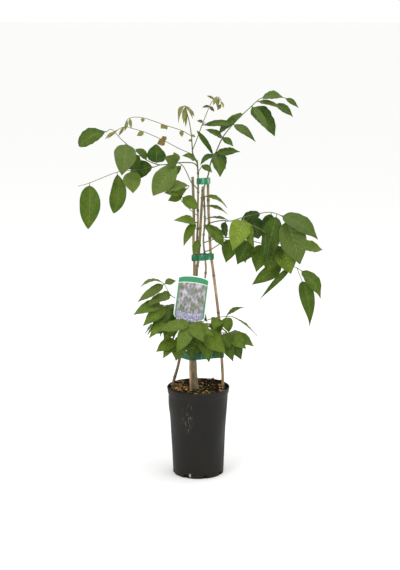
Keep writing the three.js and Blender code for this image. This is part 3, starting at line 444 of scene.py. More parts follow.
def back_frond(index, name, heading, root_height, slot):
    """A frond with pairs of leaflets and one at its end, by the sizes in BACK."""
    angle = math.radians(heading)
    out = Vector((math.cos(angle), math.sin(angle), 0))
    across = Vector((-out.y, out.x, 0))
    wood = TRUNK if root_height < FORK_HEIGHT else STEM_LEFT
    root = Vector((*crossing(wood, root_height), root_height))
    knots = []
    for share in (0, 0.35, 0.7, 1):
        climb = BACK["rise"] * share - BACK["droop"] * share * share
        knots.append(root + out * BACK["reach"] * share + Vector((0, 0, climb)))
    leaflets = []
    for pair in range(1, BACK["pairs"] + 1):
        for side in (-1, 1):
            reach = BACK["leaf_reach"] + BACK["reach_wobble"] * wobble(index, pair)
            tip = knots[pair] + across * side * reach
            tip += out * BACK["lead"] * pair
            tip.z -= BACK["leaf_drop"] + BACK["drop_wobble"] * wobble(pair, index + side)
            face = out * 0.5 + across * side * 0.3 + Vector((0, 0, 0.8))
            wide = BACK["leaf_wide"] + BACK["wide_wobble"] * wobble(index, side)
            leaflets.append(leaflet(pair, tip, wide, face))
    end = knots[BACK["pairs"]] + out * BACK["end_reach"] - Vector((0, 0, BACK["end_drop"]))
    face = (out.x * 0.6, out.y * 0.6, 0.8)
    leaflets.append(leaflet(BACK["pairs"], end, BACK["end_wide"], face))
    return frond(name, slot, stalk(knots, BACK["root_radius"], BACK["tip_radius"], *leaflets))


# Building blocks


def add(tree, kind, inputs=(), stops=(), **settings):
    """Adds a node. inputs are values, nodes or sockets, for its sockets in order or by name,
    settings are the node's own properties, and stops are a colour ramp's."""
    node = tree.nodes.new(kind)
    for name, value in settings.items():
        setattr(node, name, value)
    sockets = [socket for socket in node.inputs if socket.enabled]
    if isinstance(inputs, dict):
        named = {socket.name: socket for socket in reversed(sockets)}
        pairs = [(named[name], term) for name, term in inputs.items()]
    else:
        pairs = zip(sockets, inputs)
    for socket, term in pairs:
        if isinstance(term, bpy.types.Node):
            term = next(output for output in term.outputs if output.enabled)
        if isinstance(term, bpy.types.NodeSocket):
            tree.links.new(term, socket)
        else:
            socket.default_value = term
    if stops:
        ramp = node.color_ramp.elements
        while len(ramp) < len(stops):
            ramp.new(0.5)
        for element, (place, colour) in zip(ramp, stops):
            element.position = place
            element.color = linear(colour)
    return node


def work_out(tree, known, steps):
    """Adds the maths nodes for steps such as "fade = maximum(1 - side / 0.3, 0)", one to a line.
    A word before a bracket is an operation of the maths node, or with v_ of the vector one, and
    a minus that touches a number belongs to it. Returns every value by name."""
    signs = {
        "+": "ADD", "-": "SUBTRACT", "*": "MULTIPLY", "/": "DIVIDE", "<": "LESS_THAN",
        ">": "GREATER_THAN",
    }
    values = dict(known)

    def read(words, levels=("<>", "+-", "*/")):
        """Takes an expression off the front of the words. The first level binds most loosely."""
        if levels:
            result = read(words, levels[1:])
            while words and words[0] in levels[0]:
                sign = words.pop(0)
                terms = [result, read(words, levels[1:])]
                result = add(tree, "ShaderNodeMath", terms, operation=signs[sign])
            return result
        word = words.pop(0)
        if word == "(":
            result = read(words)
            words.pop(0)
            return result
        if words[:1] != ["("]:
            return values[word] if word in values else float(word)
        terms = []
        while words.pop(0) in ("(", ","):
            terms.append(read(words))
        kind = "ShaderNodeVectorMath" if word.startswith("v_") else "ShaderNodeMath"
        return add(tree, kind, terms, operation=word.removeprefix("v_").upper())

    for step in steps.strip().splitlines():
        if not step.strip().startswith("#"):
            result, expression = step.split(" = ")
            words = re.findall(r"[a-z]\w*|-?\d[\d.]*|[-+*/<>(),]", expression)
            values[result.strip()] = read(words)
    return values


def new_tree(name, sockets):
    """A Geometry Nodes tree with a geometry in and out and the named inputs."""
    tree = bpy.data.node_groups.new(name, "GeometryNodeTree")
    tree.interface.new_socket("Geometry", in_out="OUTPUT", socket_type="NodeSocketGeometry")
    tree.interface.new_socket("Geometry", in_out="INPUT", socket_type="NodeSocketGeometry")
    for title, kind in sockets.items():
        tree.interface.new_socket(title, in_out="INPUT", socket_type="NodeSocket" + kind)
    return tree, add(tree, "NodeGroupInput"), add(tree, "NodeGroupOutput")


def grow(piece, tree, inputs, keep=()):
    """Runs a tree on a piece, makes the result its plain mesh and drops the modifier."""
    modifier = piece.modifiers.new(tree.name, "NODES")
    modifier.node_group = tree
    for socket in tree.interface.items_tree:
        if socket.in_out == "INPUT" and socket.name in inputs:
            modifier[socket.identifier] = inputs[socket.name]
    depsgraph = bpy.context.evaluated_depsgraph_get()
    mesh = bpy.data.meshes.new_from_object(
        piece.evaluated_get(depsgraph), preserve_all_data_layers=True, depsgraph=depsgraph
    )
    piece.modifiers.clear()
    old, piece.data = piece.data, mesh
    bpy.data.meshes.remove(old)
    mesh.name = piece.name
    keep = ("sharp_edge", "sharp_face", "material_index", "UVMap", *keep)
    own = [a.name for a in mesh.attributes if not (a.is_internal or a.is_required)]
    for name in own:
        if name not in keep:
            mesh.attributes.remove(mesh.attributes[name])
    return piece


def new_piece(name, vertices, edges=(), faces=(), materials=()):
    """A mesh from points in millimetres, with its object at the origin."""
    mesh = bpy.data.meshes.new(name)
    mesh.from_pydata([[c * MM for c in vertex] for vertex in vertices], edges, faces)
    for material in materials:
        mesh.materials.append(material)
    piece = bpy.data.objects.new(name, mesh)
    bpy.context.scene.collection.objects.link(piece)
    return piece


def store(piece, name, kind, values):
    """Keeps one value for each vertex of a piece."""
    attribute = piece.data.attributes.new(name, kind, "POINT")
    for item, value in zip(attribute.data, values):
        if kind == "FLOAT_VECTOR":
            item.vector = value
        else:
            item.value = value


def smooth(piece, corner=40):
    """Shades a piece smooth, with its corners kept sharp."""
    piece.data.polygons.foreach_set("use_smooth", [True] * len(piece.data.polygons))
    piece.data.set_sharp_from_angle(angle=math.radians(corner))


def stands_for(piece, *nodes, slot):
    """The piece takes the place of CAD nodes and moves with the plant."""
    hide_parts(*nodes)
    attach(piece, BODY)


def new_material(name):
    material = bpy.data.materials.new(name)
    material.use_nodes = True
    material.node_tree.nodes.clear()
    return material, material.node_tree


def finish_material(tree, colour, roughness, bump=None, layers=(), finish=()):
    """Ends a material in one shader. Each (share, colour, blend) layer goes over the last, bump
    is (height, strength, distance), and finish holds the shader's other settings."""
    for share, over, *blend in layers:
        over = linear(over) if isinstance(over, str) else over
        colour = add(tree, "ShaderNodeMix", [share, colour, over], data_type="RGBA",
                     blend_type=blend[0] if blend else "MIX")
    inputs = {"Base Color": colour, "Roughness": roughness, **dict(finish)}
    if bump:
        relief = dict(zip(("Height", "Strength", "Distance"), bump))
        inputs["Normal"] = add(tree, "ShaderNodeBump", relief)
    shader = add(tree, "ShaderNodeBsdfPrincipled", inputs)
    add(tree, "ShaderNodeOutputMaterial", {"Surface": shader})


# Materials. A pattern's scale is 1000 over its size in millimetres, which stands above it


def leaf_material(name, stops, sheen_and_bud_colour, vein, underside, sheen):
    """Living leaf: a waxy skin that reflects the sky softly, a paler rib with side veins pressed
    into it, painted shade in the creases beside the veins, panels between the veins painted lighter
    on the side that meets the light, a painted grey sheen on some blades and a brown tone on young
    buds, a duller and paler underside, and light that passes through the blade."""
    material, tree = new_material(name)
    place = add(tree, "ShaderNodeTexCoord").outputs["Object"]
    blade = add(tree, "ShaderNodeAttribute", attribute_name="blade").outputs["Vector"]
    apart = add(tree, "ShaderNodeSeparateXYZ", [blade]).outputs
    tint = add(tree, "ShaderNodeAttribute", attribute_name="tint").outputs["Fac"]
    bloom = add(tree, "ShaderNodeAttribute", attribute_name="bloom").outputs["Fac"]
    # Patches of tone 14 mm wide, and a speckle of 1.1 mm
    patches = add(tree, "ShaderNodeTexNoise", {"Vector": place, "Scale": 70.0, "Detail": 4.0})
    speckle = add(tree, "ShaderNodeTexNoise", {"Vector": place, "Scale": 900.0, "Detail": 2.0})
    known = dict(
        u=apart["X"], v=apart["Y"], level=apart["Z"], tint=tint, patches=patches, speckle=speckle
    )
    # Each panel between veins is painted lighter towards the tip, as painted light on the side of
    # its arch that meets the light, and the edge is darker
    # Each vein lies in a wider crease, which the bump sinks and which is darkened with painted
    # shade
    values = work_out(tree, known, """
        # Eight veins on each side of the rib, about 9 mm apart on a long leaflet, that slant
        # and curve towards the tip and fade towards the edge
        side = absolute(v)
        slant = side * 0.17
        run = (u - slant - slant * side) * 8
        off_vein = pingpong(run, 0.5)
        inward = 1.05 - side
        veins = maximum(1 - off_vein / 0.09, 0) * inward
        rib = maximum(1 - side / 0.055, 0)
        pale = maximum(veins * 0.4, rib * 0.6)
        # Each vein lies in a wider, darker crease
        crease = maximum(1 - off_vein / 0.3, 0) * inward
        dark_crease = crease * 0.75
        # The panels between veins grow lighter towards the tip, and the edge is darker
        panel = (fract(run) - 0.5) * inward * 0.16
        fleck = (speckle - 0.5) * 0.16
        swing = (patches - 0.5) * 0.55 + fleck
        shade = tint + 0.1 + side * -0.16 + panel + swing
        under = (level < -0.2) * 0.62
        height = 1 - maximum(crease, rib) + fleck
    """)
    skin = add(tree, "ShaderNodeValToRGB", [values["shade"]], stops=stops).outputs["Color"]
    roughness = add(tree, "ShaderNodeMapRange", [patches, 0.3, 0.7, 0.42, 0.6])
    finish_material(
        tree, skin, roughness, (values["height"], 0.7, 0.0009),
        layers=[
            # A painted grey sheen over green leaves, and the brown tone of buds on young growth
            (bloom, sheen_and_bud_colour),
            # Painted shade in the creases beside the veins
            (values["dark_crease"], "#a0a880", "MULTIPLY"),
            (values["pale"], vein),
            (values["under"], underside),
        ],
        finish={
            "Specular IOR Level": 0.17, "Subsurface Weight": 0.08, "Subsurface Scale": 0.003,
            "Subsurface Radius": (0.5, 1.0, 0.2), "Sheen Weight": sheen, "Sheen Roughness": 0.5,
        },
    )
    return material


def stem_material(name, low, high, grain, green_from=None):
    """Soft green stem or dry wood: long fibres, a few paler pores and a matt skin. With
    green_from, a height in metres, it is bark with dark leaf scars that is young and green from
    there."""
    material, tree = new_material(name)
    place = add(tree, "ShaderNodeTexCoord").outputs["Object"]
    # Fibres six times as long as they are wide, patches 25 mm wide and pores 4 mm apart
    stretched = add(tree, "ShaderNodeMapping", {"Vector": place, "Scale": (1.0, 1.0, 0.16)})
    fibres = add(tree, "ShaderNodeTexNoise", {"Vector": stretched, "Scale": grain, "Detail": 6.0})
    patches = add(tree, "ShaderNodeTexNoise", {"Vector": place, "Scale": 40.0, "Detail": 3.0})
    pores = add(tree, "ShaderNodeTexVoronoi", {"Vector": place, "Scale": 260.0})
    known = dict(fibres=fibres, patches=patches, pores=pores.outputs["Distance"])
    values = work_out(tree, known, """
        lift = (pores < 0.14) * 0.2
        shade = patches * 0.8 + fibres * 0.7 - 0.25 + lift
        height = fibres + lift
    """)
    stops = [(0.25, low), (0.75, high)]
    wood = add(tree, "ShaderNodeValToRGB", [values["shade"]], stops=stops).outputs["Color"]
    layers = []
    if green_from:
        z = add(tree, "ShaderNodeSeparateXYZ", [place]).outputs["Z"]
        young = add(tree, "ShaderNodeMapRange", [z, green_from, green_from + 0.16, 0.0, 0.75])
        scar = add(tree, "ShaderNodeAttribute", attribute_name="scar").outputs["Fac"]
        dark = add(tree, "ShaderNodeMath", [scar, 0.7], operation="MULTIPLY")
        layers = [(young, "#5b6a2e"), (dark, "#3b2c18")]
    roughness = add(tree, "ShaderNodeMapRange", [fibres, 0.3, 0.7, 0.6, 0.85])
    finish_material(tree, wood, roughness, (values["height"], 0.7, 0.0006), layers)
    return material


def bamboo_material():
    """Dry bamboo cane: a hard, faintly glossy skin with long fibres, weathered in grey-brown
    streaks, with a dark scar at each node and a reddish-brown strip that is painted shade with some
    reddish peeling in it."""
    material, tree = new_material("dry_bamboo")
    place = add(tree, "ShaderNodeTexCoord").outputs["Object"]
    gap, tint, shade_and_peeling = [add(tree, "ShaderNodeAttribute", attribute_name=name).outputs["Fac"]
                        for name in ("node_gap", "tint", "shade_and_peeling")]
    # Fibres 1.1 mm wide and twenty times as long, and weathered patches 38 mm wide
    stretched = add(tree, "ShaderNodeMapping", {"Vector": place, "Scale": (1.0, 1.0, 0.05)})
    fibres = add(tree, "ShaderNodeTexNoise", {"Vector": stretched, "Scale": 900.0, "Detail": 4.0})
    weather = add(tree, "ShaderNodeTexNoise", {"Vector": place, "Scale": 26.0, "Detail": 5.0})
    known = dict(fibres=fibres, weather=weather, gap=gap, tint=tint, scar_reach=3.5 * MM)
    values = work_out(tree, known, """
        scar = maximum(1 - absolute(gap) / scar_reach, 0)
        streak = fibres * 0.6
        shade = streak + weather * 0.9 - 0.3 + tint - scar * 0.4
    """)
    stops = [(0.0, "#48402c"), (0.28, "#786a4c"), (0.5, "#a1865f"), (0.72, "#bda782"),
             (1.0, "#d4c6a8")]
    skin = add(tree, "ShaderNodeValToRGB", [values["shade"]], stops=stops).outputs["Color"]
    finish_material(
        # The reddish-brown layer is painted shade beside the trunk, with some reddish peeling
        tree, skin, 0.48, (values["streak"], 0.5, 0.0003), layers=[(shade_and_peeling, "#64351a")]
    )
    return material


def polyethylene_material(settings):
    """Moulded black polyethylene: a waxy, half-matt skin with orange peel, dust that settles
    in patches, chalky scratches on the front and a pale chip at the foot."""
    material, tree = new_material("moulded_black_polyethylene")
    place = add(tree, "ShaderNodeTexCoord").outputs["Object"]
    # Dust in patches 70 mm wide, orange peel of 2.4 mm, and leaning scratches 2.6 mm wide
    dust = add(tree, "ShaderNodeTexNoise", {"Vector": place, "Scale": 14.0, "Detail": 6.0})
    peel = add(tree, "ShaderNodeTexNoise", {"Vector": place, "Scale": 420.0, "Detail": 3.0})
    leaning = add(tree, "ShaderNodeMapping", {
        "Vector": place, "Rotation": (0.0, 0.6, 0.0), "Scale": (1.0, 1.0, 0.18),
    })
    rubs = add(tree, "ShaderNodeTexNoise", {
        "Vector": leaning, "Scale": 380.0, "Detail": 5.0, "Roughness": 0.7,
    })
    # The middle of the scratches and of the chip, and how fast each ends along x, y and z
    known = dict(
        place=place, dust=dust, rubs=rubs, scratched=(-0.027, -0.073, 0.163),
        scratched_ends=(52.0, 14.0, 22.0), chipped=(-0.021, -0.062, 0.0085),
        chipped_ends=(330.0, 60.0, 170.0),
    )
    values = work_out(tree, known, """
        scratch_gap = v_length(v_multiply(v_subtract(place, scratched), scratched_ends))
        scratch = maximum((rubs - 0.575) * 9, 0) * maximum(1 - scratch_gap, 0)
        pale_scratch = minimum(scratch, 0.36)
        film = maximum((dust - 0.45) * 0.4, 0)
        chip_gap = v_length(v_multiply(v_subtract(place, chipped), chipped_ends))
        chip = (chip_gap + rubs < 1.35) * 0.5
    """)
    roughness = add(tree, "ShaderNodeMapRange", [dust, 0.3, 0.7, 0.45, 0.65])
    finish_material(
        tree, list(settings.colour), roughness, (peel, 0.25, 0.0004),
        layers=[
            (values["film"], "#4b4238"),
            (values["pale_scratch"], "#b4b1a8"),
            (values["chip"], "#c9c6bd"),
        ],
        finish={"Specular IOR Level": 0.2},
    )
    return material


def compost_material(name, stops, grit):
    """Damp bark compost or bark chip: rough, fibrous and almost without shine."""
    material, tree = new_material(name)
    place = add(tree, "ShaderNodeTexCoord").outputs["Object"]
    crumbs = add(tree, "ShaderNodeTexNoise", {
        "Vector": place, "Scale": grit, "Detail": 8.0, "Roughness": 0.7,
    })
    tint = add(tree, "ShaderNodeAttribute", attribute_name="tint").outputs["Fac"]
    values = work_out(tree, dict(crumbs=crumbs, tint=tint), "shade = crumbs - 0.5 + tint")
    colour = add(tree, "ShaderNodeValToRGB", [values["shade"]], stops=stops).outputs["Color"]
    finish_material(
        tree, colour, 0.92, (crumbs, 0.9, 0.001), finish={"Specular IOR Level": 0.12}
    )
    return material


def tape_material():
    """Green stretch tape of soft vinyl: smooth and glossy, with fine stretch marks across it, and
    folds painted in light and shade up to a painted highlight on their ridges.
    """
    material, tree = new_material("green_vinyl_tape")
    place = add(tree, "ShaderNodeTexCoord").outputs["Object"]
    tint = add(tree, "ShaderNodeAttribute", attribute_name="tint").outputs["Fac"]
    # Marks 3 mm wide and folds 13 mm wide, three times as tall. The folds are painted light and
    # shade
    stretched = add(tree, "ShaderNodeMapping", {"Vector": place, "Scale": (1.0, 1.0, 0.35)})
    marks = add(tree, "ShaderNodeTexNoise", {"Vector": stretched, "Scale": 320.0, "Detail": 3.0})
    fold_light_and_shade = add(tree, "ShaderNodeTexNoise", {"Vector": stretched, "Scale": 75.0, "Detail": 2.0})
    # Painted light and shade: dark in the folds' hollows, pale on their ridges, and the top stop a
    # painted highlight
    shade = add(tree, "ShaderNodeMath", [fold_light_and_shade, 1.5, tint], operation="MULTIPLY_ADD")
    stops = [(0.2, "#0c3a22"), (0.45, "#1a6440"), (0.65, "#2f8a5e"), (1.0, "#b4e8cd")]
    colour = add(tree, "ShaderNodeValToRGB", [shade], stops=stops).outputs["Color"]
    roughness = add(tree, "ShaderNodeMapRange", [marks, 0.3, 0.7, 0.22, 0.42])
    finish_material(
        tree, colour, roughness, (marks, 0.5, 0.0006),
        finish={"Subsurface Weight": 0.08, "Subsurface Scale": 0.002, "Specular IOR Level": 0.3},
    )
    return material


def label_material():
    """Printed polypropylene tag: a smooth white sheet with a soft gloss. The print has a green
    head with a pale line, a garden in grey-mauve and yellow-green drops, and a lavender foot
    with small round florets."""
    material, tree = new_material("printed_polypropylene")
    sheet = add(tree, "ShaderNodeUVMap", uv_map="UVMap")
    apart = add(tree, "ShaderNodeSeparateXYZ", [sheet]).outputs
    # Drops 5 mm wide and 10 mm tall, florets 5 mm apart, and haze 16 mm wide
    drops, florets = [
        add(tree, "ShaderNodeTexVoronoi", {
            "Vector": add(tree, "ShaderNodeMapping", {"Vector": sheet, "Scale": count}),
            "Scale": 1.0, "Randomness": randomness,
        })
        for count, randomness in (((15.0, 11.0, 1.0), 1.0), ((16.0, 24.0, 1.0), 0.45))
    ]
    haze = add(tree, "ShaderNodeTexNoise", {"Vector": sheet, "Scale": 5.0, "Detail": 3.0})
    known = dict(
        x=apart["X"], y=apart["Y"], haze=haze, drop=drops.outputs["Distance"],
        floret=florets.outputs["Distance"],
    )
    values = work_out(tree, known, """
        # Shares of the sheet's width and height
        off = absolute(x - 0.5)
        printed = (y > 0.022) * (y < 0.978) * (off < 0.462)
        line = (y > 0.845) * (y < 0.86)
        inner = off < 0.425
        garden = (y < 0.845) * (y > 0.2) * inner
        foot = (y < 0.19) * inner
        floret_dots = (floret < 0.34) * foot
        garden_shade = drop * 0.55 + haze * 0.75 - 0.15
    """)
    stops = [(0.15, "#3c4526"), (0.35, "#717a4e"), (0.5, "#86848a"), (0.8, "#c6c1cb")]
    garden = add(tree, "ShaderNodeValToRGB", [values["garden_shade"]], stops=stops)
    layers = [
        (values["printed"], "#2f8a5c"),
        (values["line"], "#e4efe6"),
        (values["garden"], garden.outputs["Color"]),
        (values["foot"], "#9b97b4"),
        (values["floret_dots"], "#e3e0ee"),
    ]
    finish_material(tree, linear("#f0f2ee"), 0.32, layers=layers)
    return material


# Geometry Nodes trees


def frond_tree():
    """Leaflets on their stalks. Each loose vertex carries one leaflet's sizes, and each chain of
    edges is a stalk with its thickness."""
    tree, group, end = new_tree("Frond", {
        "Blade thickness": "Float", "Petiolule radius": "Float", "Stations": "Int", "Rows": "Int",
        "Sides": "Int", "Steps": "Int", "Leaf": "Material", "Stalk": "Material",
    })
    sizes = group.outputs
    own = {}
    for kind, names in (
        ("FLOAT", LEAFLET_SIZES + ["thickness"]),
        ("FLOAT_VECTOR", LEAFLET_WAYS + ["origin", "slab"]),
        ("BOOLEAN", ["is_leaflet"]),
    ):
        for name in names:
            own[name] = add(tree, "GeometryNodeInputNamedAttribute", [name], data_type=kind)

    # The blank: a closed slab whose x, y and z turn into length, side and level
    slab = add(tree, "GeometryNodeMeshCube", {
        "Vertices X": sizes["Stations"], "Vertices Y": sizes["Rows"], "Vertices Z": 2,
    })
    blank, rooted = [
        add(tree, "GeometryNodeStoreNamedAttribute", {
            "Geometry": shape, "Name": name, "Value": add(tree, "GeometryNodeInputPosition"),
        }, data_type="FLOAT_VECTOR")
        for shape, name in ((slab, "slab"), (sizes["Geometry"], "origin"))
    ]
    copies = add(tree, "GeometryNodeInstanceOnPoints", {
        "Points": rooted, "Selection": own["is_leaflet"], "Instance": blank,
    })
    slabs = add(tree, "GeometryNodeRealizeInstances", [copies])

    place = add(tree, "ShaderNodeSeparateXYZ", [own["slab"]]).outputs
    known = dict(
        own, x=place["X"], y=place["Y"], level=place["Z"], blade_thick=sizes["Blade thickness"],
        petiolule=sizes["Petiolule radius"], rib_thick=0.9 * MM,
    )
    values = work_out(tree, known, """
        # Share of the length, and side from -1 to 1, with the rows drawn in towards the rib
        u = x + 0.5
        side = y * 2
        way = sign(side)
        v = power(absolute(side), 1.5) * way
        off_rib = absolute(v)
        # Outline, uneven by 4% of its width, with a tip that is drawn out past 0.6
        s = maximum((u - start) / (1 - start), 0)
        open = power(s, root) * power(maximum(1 - s, 0), point) / peak
        uneven = sine(u * 8 + way * 1.9 + seed) * 0.04
        drawn = power(maximum(s - 0.6, 0), 2) * 2.2
        blade_half = wide * 0.5 * open * (1 + uneven - drawn)
        half = maximum(blade_half, petiolule * (1.02 - u))
        # Arch, fold, waves, a finer frill at the edge, and eight puckers, as the side veins have
        tail = 1 - u
        hump = u * tail * 4
        arch = hump * sag * v_length(reach)
        fold_up = fold * blade_half
        ripple = wave * wide * sine(u * 9 + phase) * v * open
        edge = power(off_rib, 3)
        frill = sine(u * 31 + way * 2 + phase) * edge * blade_half * 0.05
        pucker = cosine((u - off_rib * 0.2) * 50.3) * blade_half * (1 - edge) * -0.04
        # Thickness: a round petiolule that thins into the blade, and a rib under it
        closed = 1 - minimum(open * 4, 1)
        rib = maximum(1 - off_rib / 0.1, 0) * tail * rib_thick * (level < 0)
        depth = (blade_thick + petiolule * closed * 1.5 + rib) * level
        # The place
        height = arch + (fold_up + ripple) * off_rib + frill + pucker + depth
        out = v * half + hump * sway
        on_rib = v_add(origin, v_scale(reach, u))
        final = v_add(v_add(on_rib, v_scale(up, height)), v_scale(across, out))
    """)
    blades = add(tree, "GeometryNodeSetPosition", {"Geometry": slabs, "Position": values["final"]})
    marks = add(tree, "ShaderNodeCombineXYZ", [values["s"], values["v"], place["Z"]])
    marked = add(tree, "GeometryNodeStoreNamedAttribute", {
        "Geometry": blades, "Name": "blade", "Value": marks,
    }, data_type="FLOAT_VECTOR")
    leaves = add(tree, "GeometryNodeSetMaterial", {"Geometry": marked, "Material": sizes["Leaf"]})
    stems = stem_nodes(tree, sizes, own["thickness"])
    stalks = add(tree, "GeometryNodeSetMaterial", {"Geometry": stems, "Material": sizes["Stalk"]})
    finish_tree(tree, [leaves, stalks], end)
    return tree


def stem_nodes(tree, sizes, thickness):
    """Round stems along the chains of edges of the geometry."""
    curve = add(tree, "GeometryNodeMeshToCurve", {"Mesh": sizes["Geometry"]})
    flowing = add(tree, "GeometryNodeCurveSplineType", {"Curve": curve}, spline_type="CATMULL_ROM")
    stepped = add(tree, "GeometryNodeSetSplineResolution", {
        "Geometry": flowing, "Resolution": sizes["Steps"],
    })
    drawn = add(tree, "GeometryNodeResampleCurve", {"Curve": stepped}, mode="EVALUATED")
    ring = add(tree, "GeometryNodeCurvePrimitiveCircle", {
        "Resolution": sizes["Sides"], "Radius": 1.0,
    })
    return add(tree, "GeometryNodeCurveToMesh", {
        "Curve": drawn, "Profile Curve": ring, "Scale": thickness, "Fill Caps": True,
    })


def finish_tree(tree, parts, end):
    """Joins the parts, shades them smooth with sharp rims, and ends the tree."""
    joined = add(tree, "GeometryNodeJoinGeometry")
    for part in parts:
        tree.links.new(part.outputs[0], joined.inputs[0])
    shaded = add(tree, "GeometryNodeSetShadeSmooth", {"Geometry": joined, "Shade Smooth": True})
    angle = add(tree, "GeometryNodeInputMeshEdgeAngle").outputs["Unsigned Angle"]
    # Sharp from about 57 degrees
    rims = add(tree, "ShaderNodeMath", [angle, 1.0], operation="GREATER_THAN")
    sharp = add(tree, "GeometryNodeSetShadeSmooth", {
        "Geometry": shaded, "Selection": rims, "Shade Smooth": False,
    }, domain="EDGE")
    real = add(tree, "GeometryNodeRealizeInstances", [sharp])
    tree.links.new(real.outputs[0], end.inputs[0])


def cane_tree():
    """A round cane along its middle line: it tapers, swells at each node and has a groove there."""
    tree, group, end = new_tree("Cane", {
        "Radius": "Float", "Sides": "Int", "Steps": "Int", "Offset": "Float", "Skin": "Material",
    })
    sizes = group.outputs
    place = add(tree, "ShaderNodeSeparateXYZ", [add(tree, "GeometryNodeInputPosition")])
    known = dict(
        z=place.outputs["Z"], offset=sizes["Offset"], radius=sizes["Radius"], spacing=96 * MM,
        swell_reach=9 * MM, groove_at=2.5 * MM, groove_reach=1.6 * MM,
    )
    values = work_out(tree, known, """
        # Distance from the nearest node, which swells by 15% with a groove above its middle
        gap = (fract((z + offset) / spacing + 0.5) - 0.5) * spacing
        swell = maximum(1 - absolute(gap) / swell_reach, 0)
        groove = maximum(1 - absolute(gap - groove_at) / groove_reach, 0)
        thickness = (1 - z * 0.16 + swell * 0.15 - groove * 0.09) * radius
    """)
    stem = stem_nodes(tree, sizes, values["thickness"])
    ringed = add(tree, "GeometryNodeStoreNamedAttribute", {
        "Geometry": stem, "Name": "node_gap", "Value": values["gap"],
    }, data_type="FLOAT")
    skinned = add(tree, "GeometryNodeSetMaterial", {"Geometry": ringed, "Material": sizes["Skin"]})
    finish_tree(tree, [skinned], end)
    return tree


def wood_tree():
    """Woody stems along their middle lines, with swollen leaf scars up the climbing ones and
    shallow ridges and dimples in the bark."""
    tree, group, end = new_tree("Wood", {
        "Sides": "Int", "Steps": "Int", "Relief": "Float", "Bark": "Material",
    })
    sizes = group.outputs
    thickness = add(tree, "GeometryNodeInputNamedAttribute", ["thickness"], data_type="FLOAT")
    place = add(tree, "GeometryNodeInputPosition")
    apart = add(tree, "ShaderNodeSeparateXYZ", [place]).outputs
    # Ridges 5 mm wide and four times as long
    long = add(tree, "ShaderNodeVectorMath", [place, (1.0, 1.0, 0.25)], operation="MULTIPLY")
    ridges = add(tree, "ShaderNodeTexNoise", {"Vector": long, "Scale": 190.0, "Detail": 4.0})
    known = dict(
        x=apart["X"], z=apart["Z"], thickness=thickness, ridges=ridges, relief=sizes["Relief"],
        normal=add(tree, "GeometryNodeInputNormal"), spacing=47 * MM, fork=420 * MM,
    )
    values = work_out(tree, known, """
        # Leaf scars at other heights on each stem, each over 0.17 of the space between them
        knot = maximum(1 - absolute(fract(z / spacing + x * 20) - 0.5) / 0.085, 0)
        scar = knot * (z > fork)
        swollen = thickness * (1 + scar * 0.6)
        outward = v_scale(normal, (ridges - 0.5) * thickness * relief)
    """)
    plain = stem_nodes(tree, sizes, values["swollen"])
    stem = add(tree, "GeometryNodeStoreNamedAttribute", {
        "Geometry": plain, "Name": "scar", "Value": values["scar"],
    }, data_type="FLOAT")
    rough = add(tree, "GeometryNodeSetPosition", {"Geometry": stem, "Offset": values["outward"]})
    barked = add(tree, "GeometryNodeSetMaterial", {"Geometry": rough, "Material": sizes["Bark"]})
    finish_tree(tree, [barked], end)
    return tree


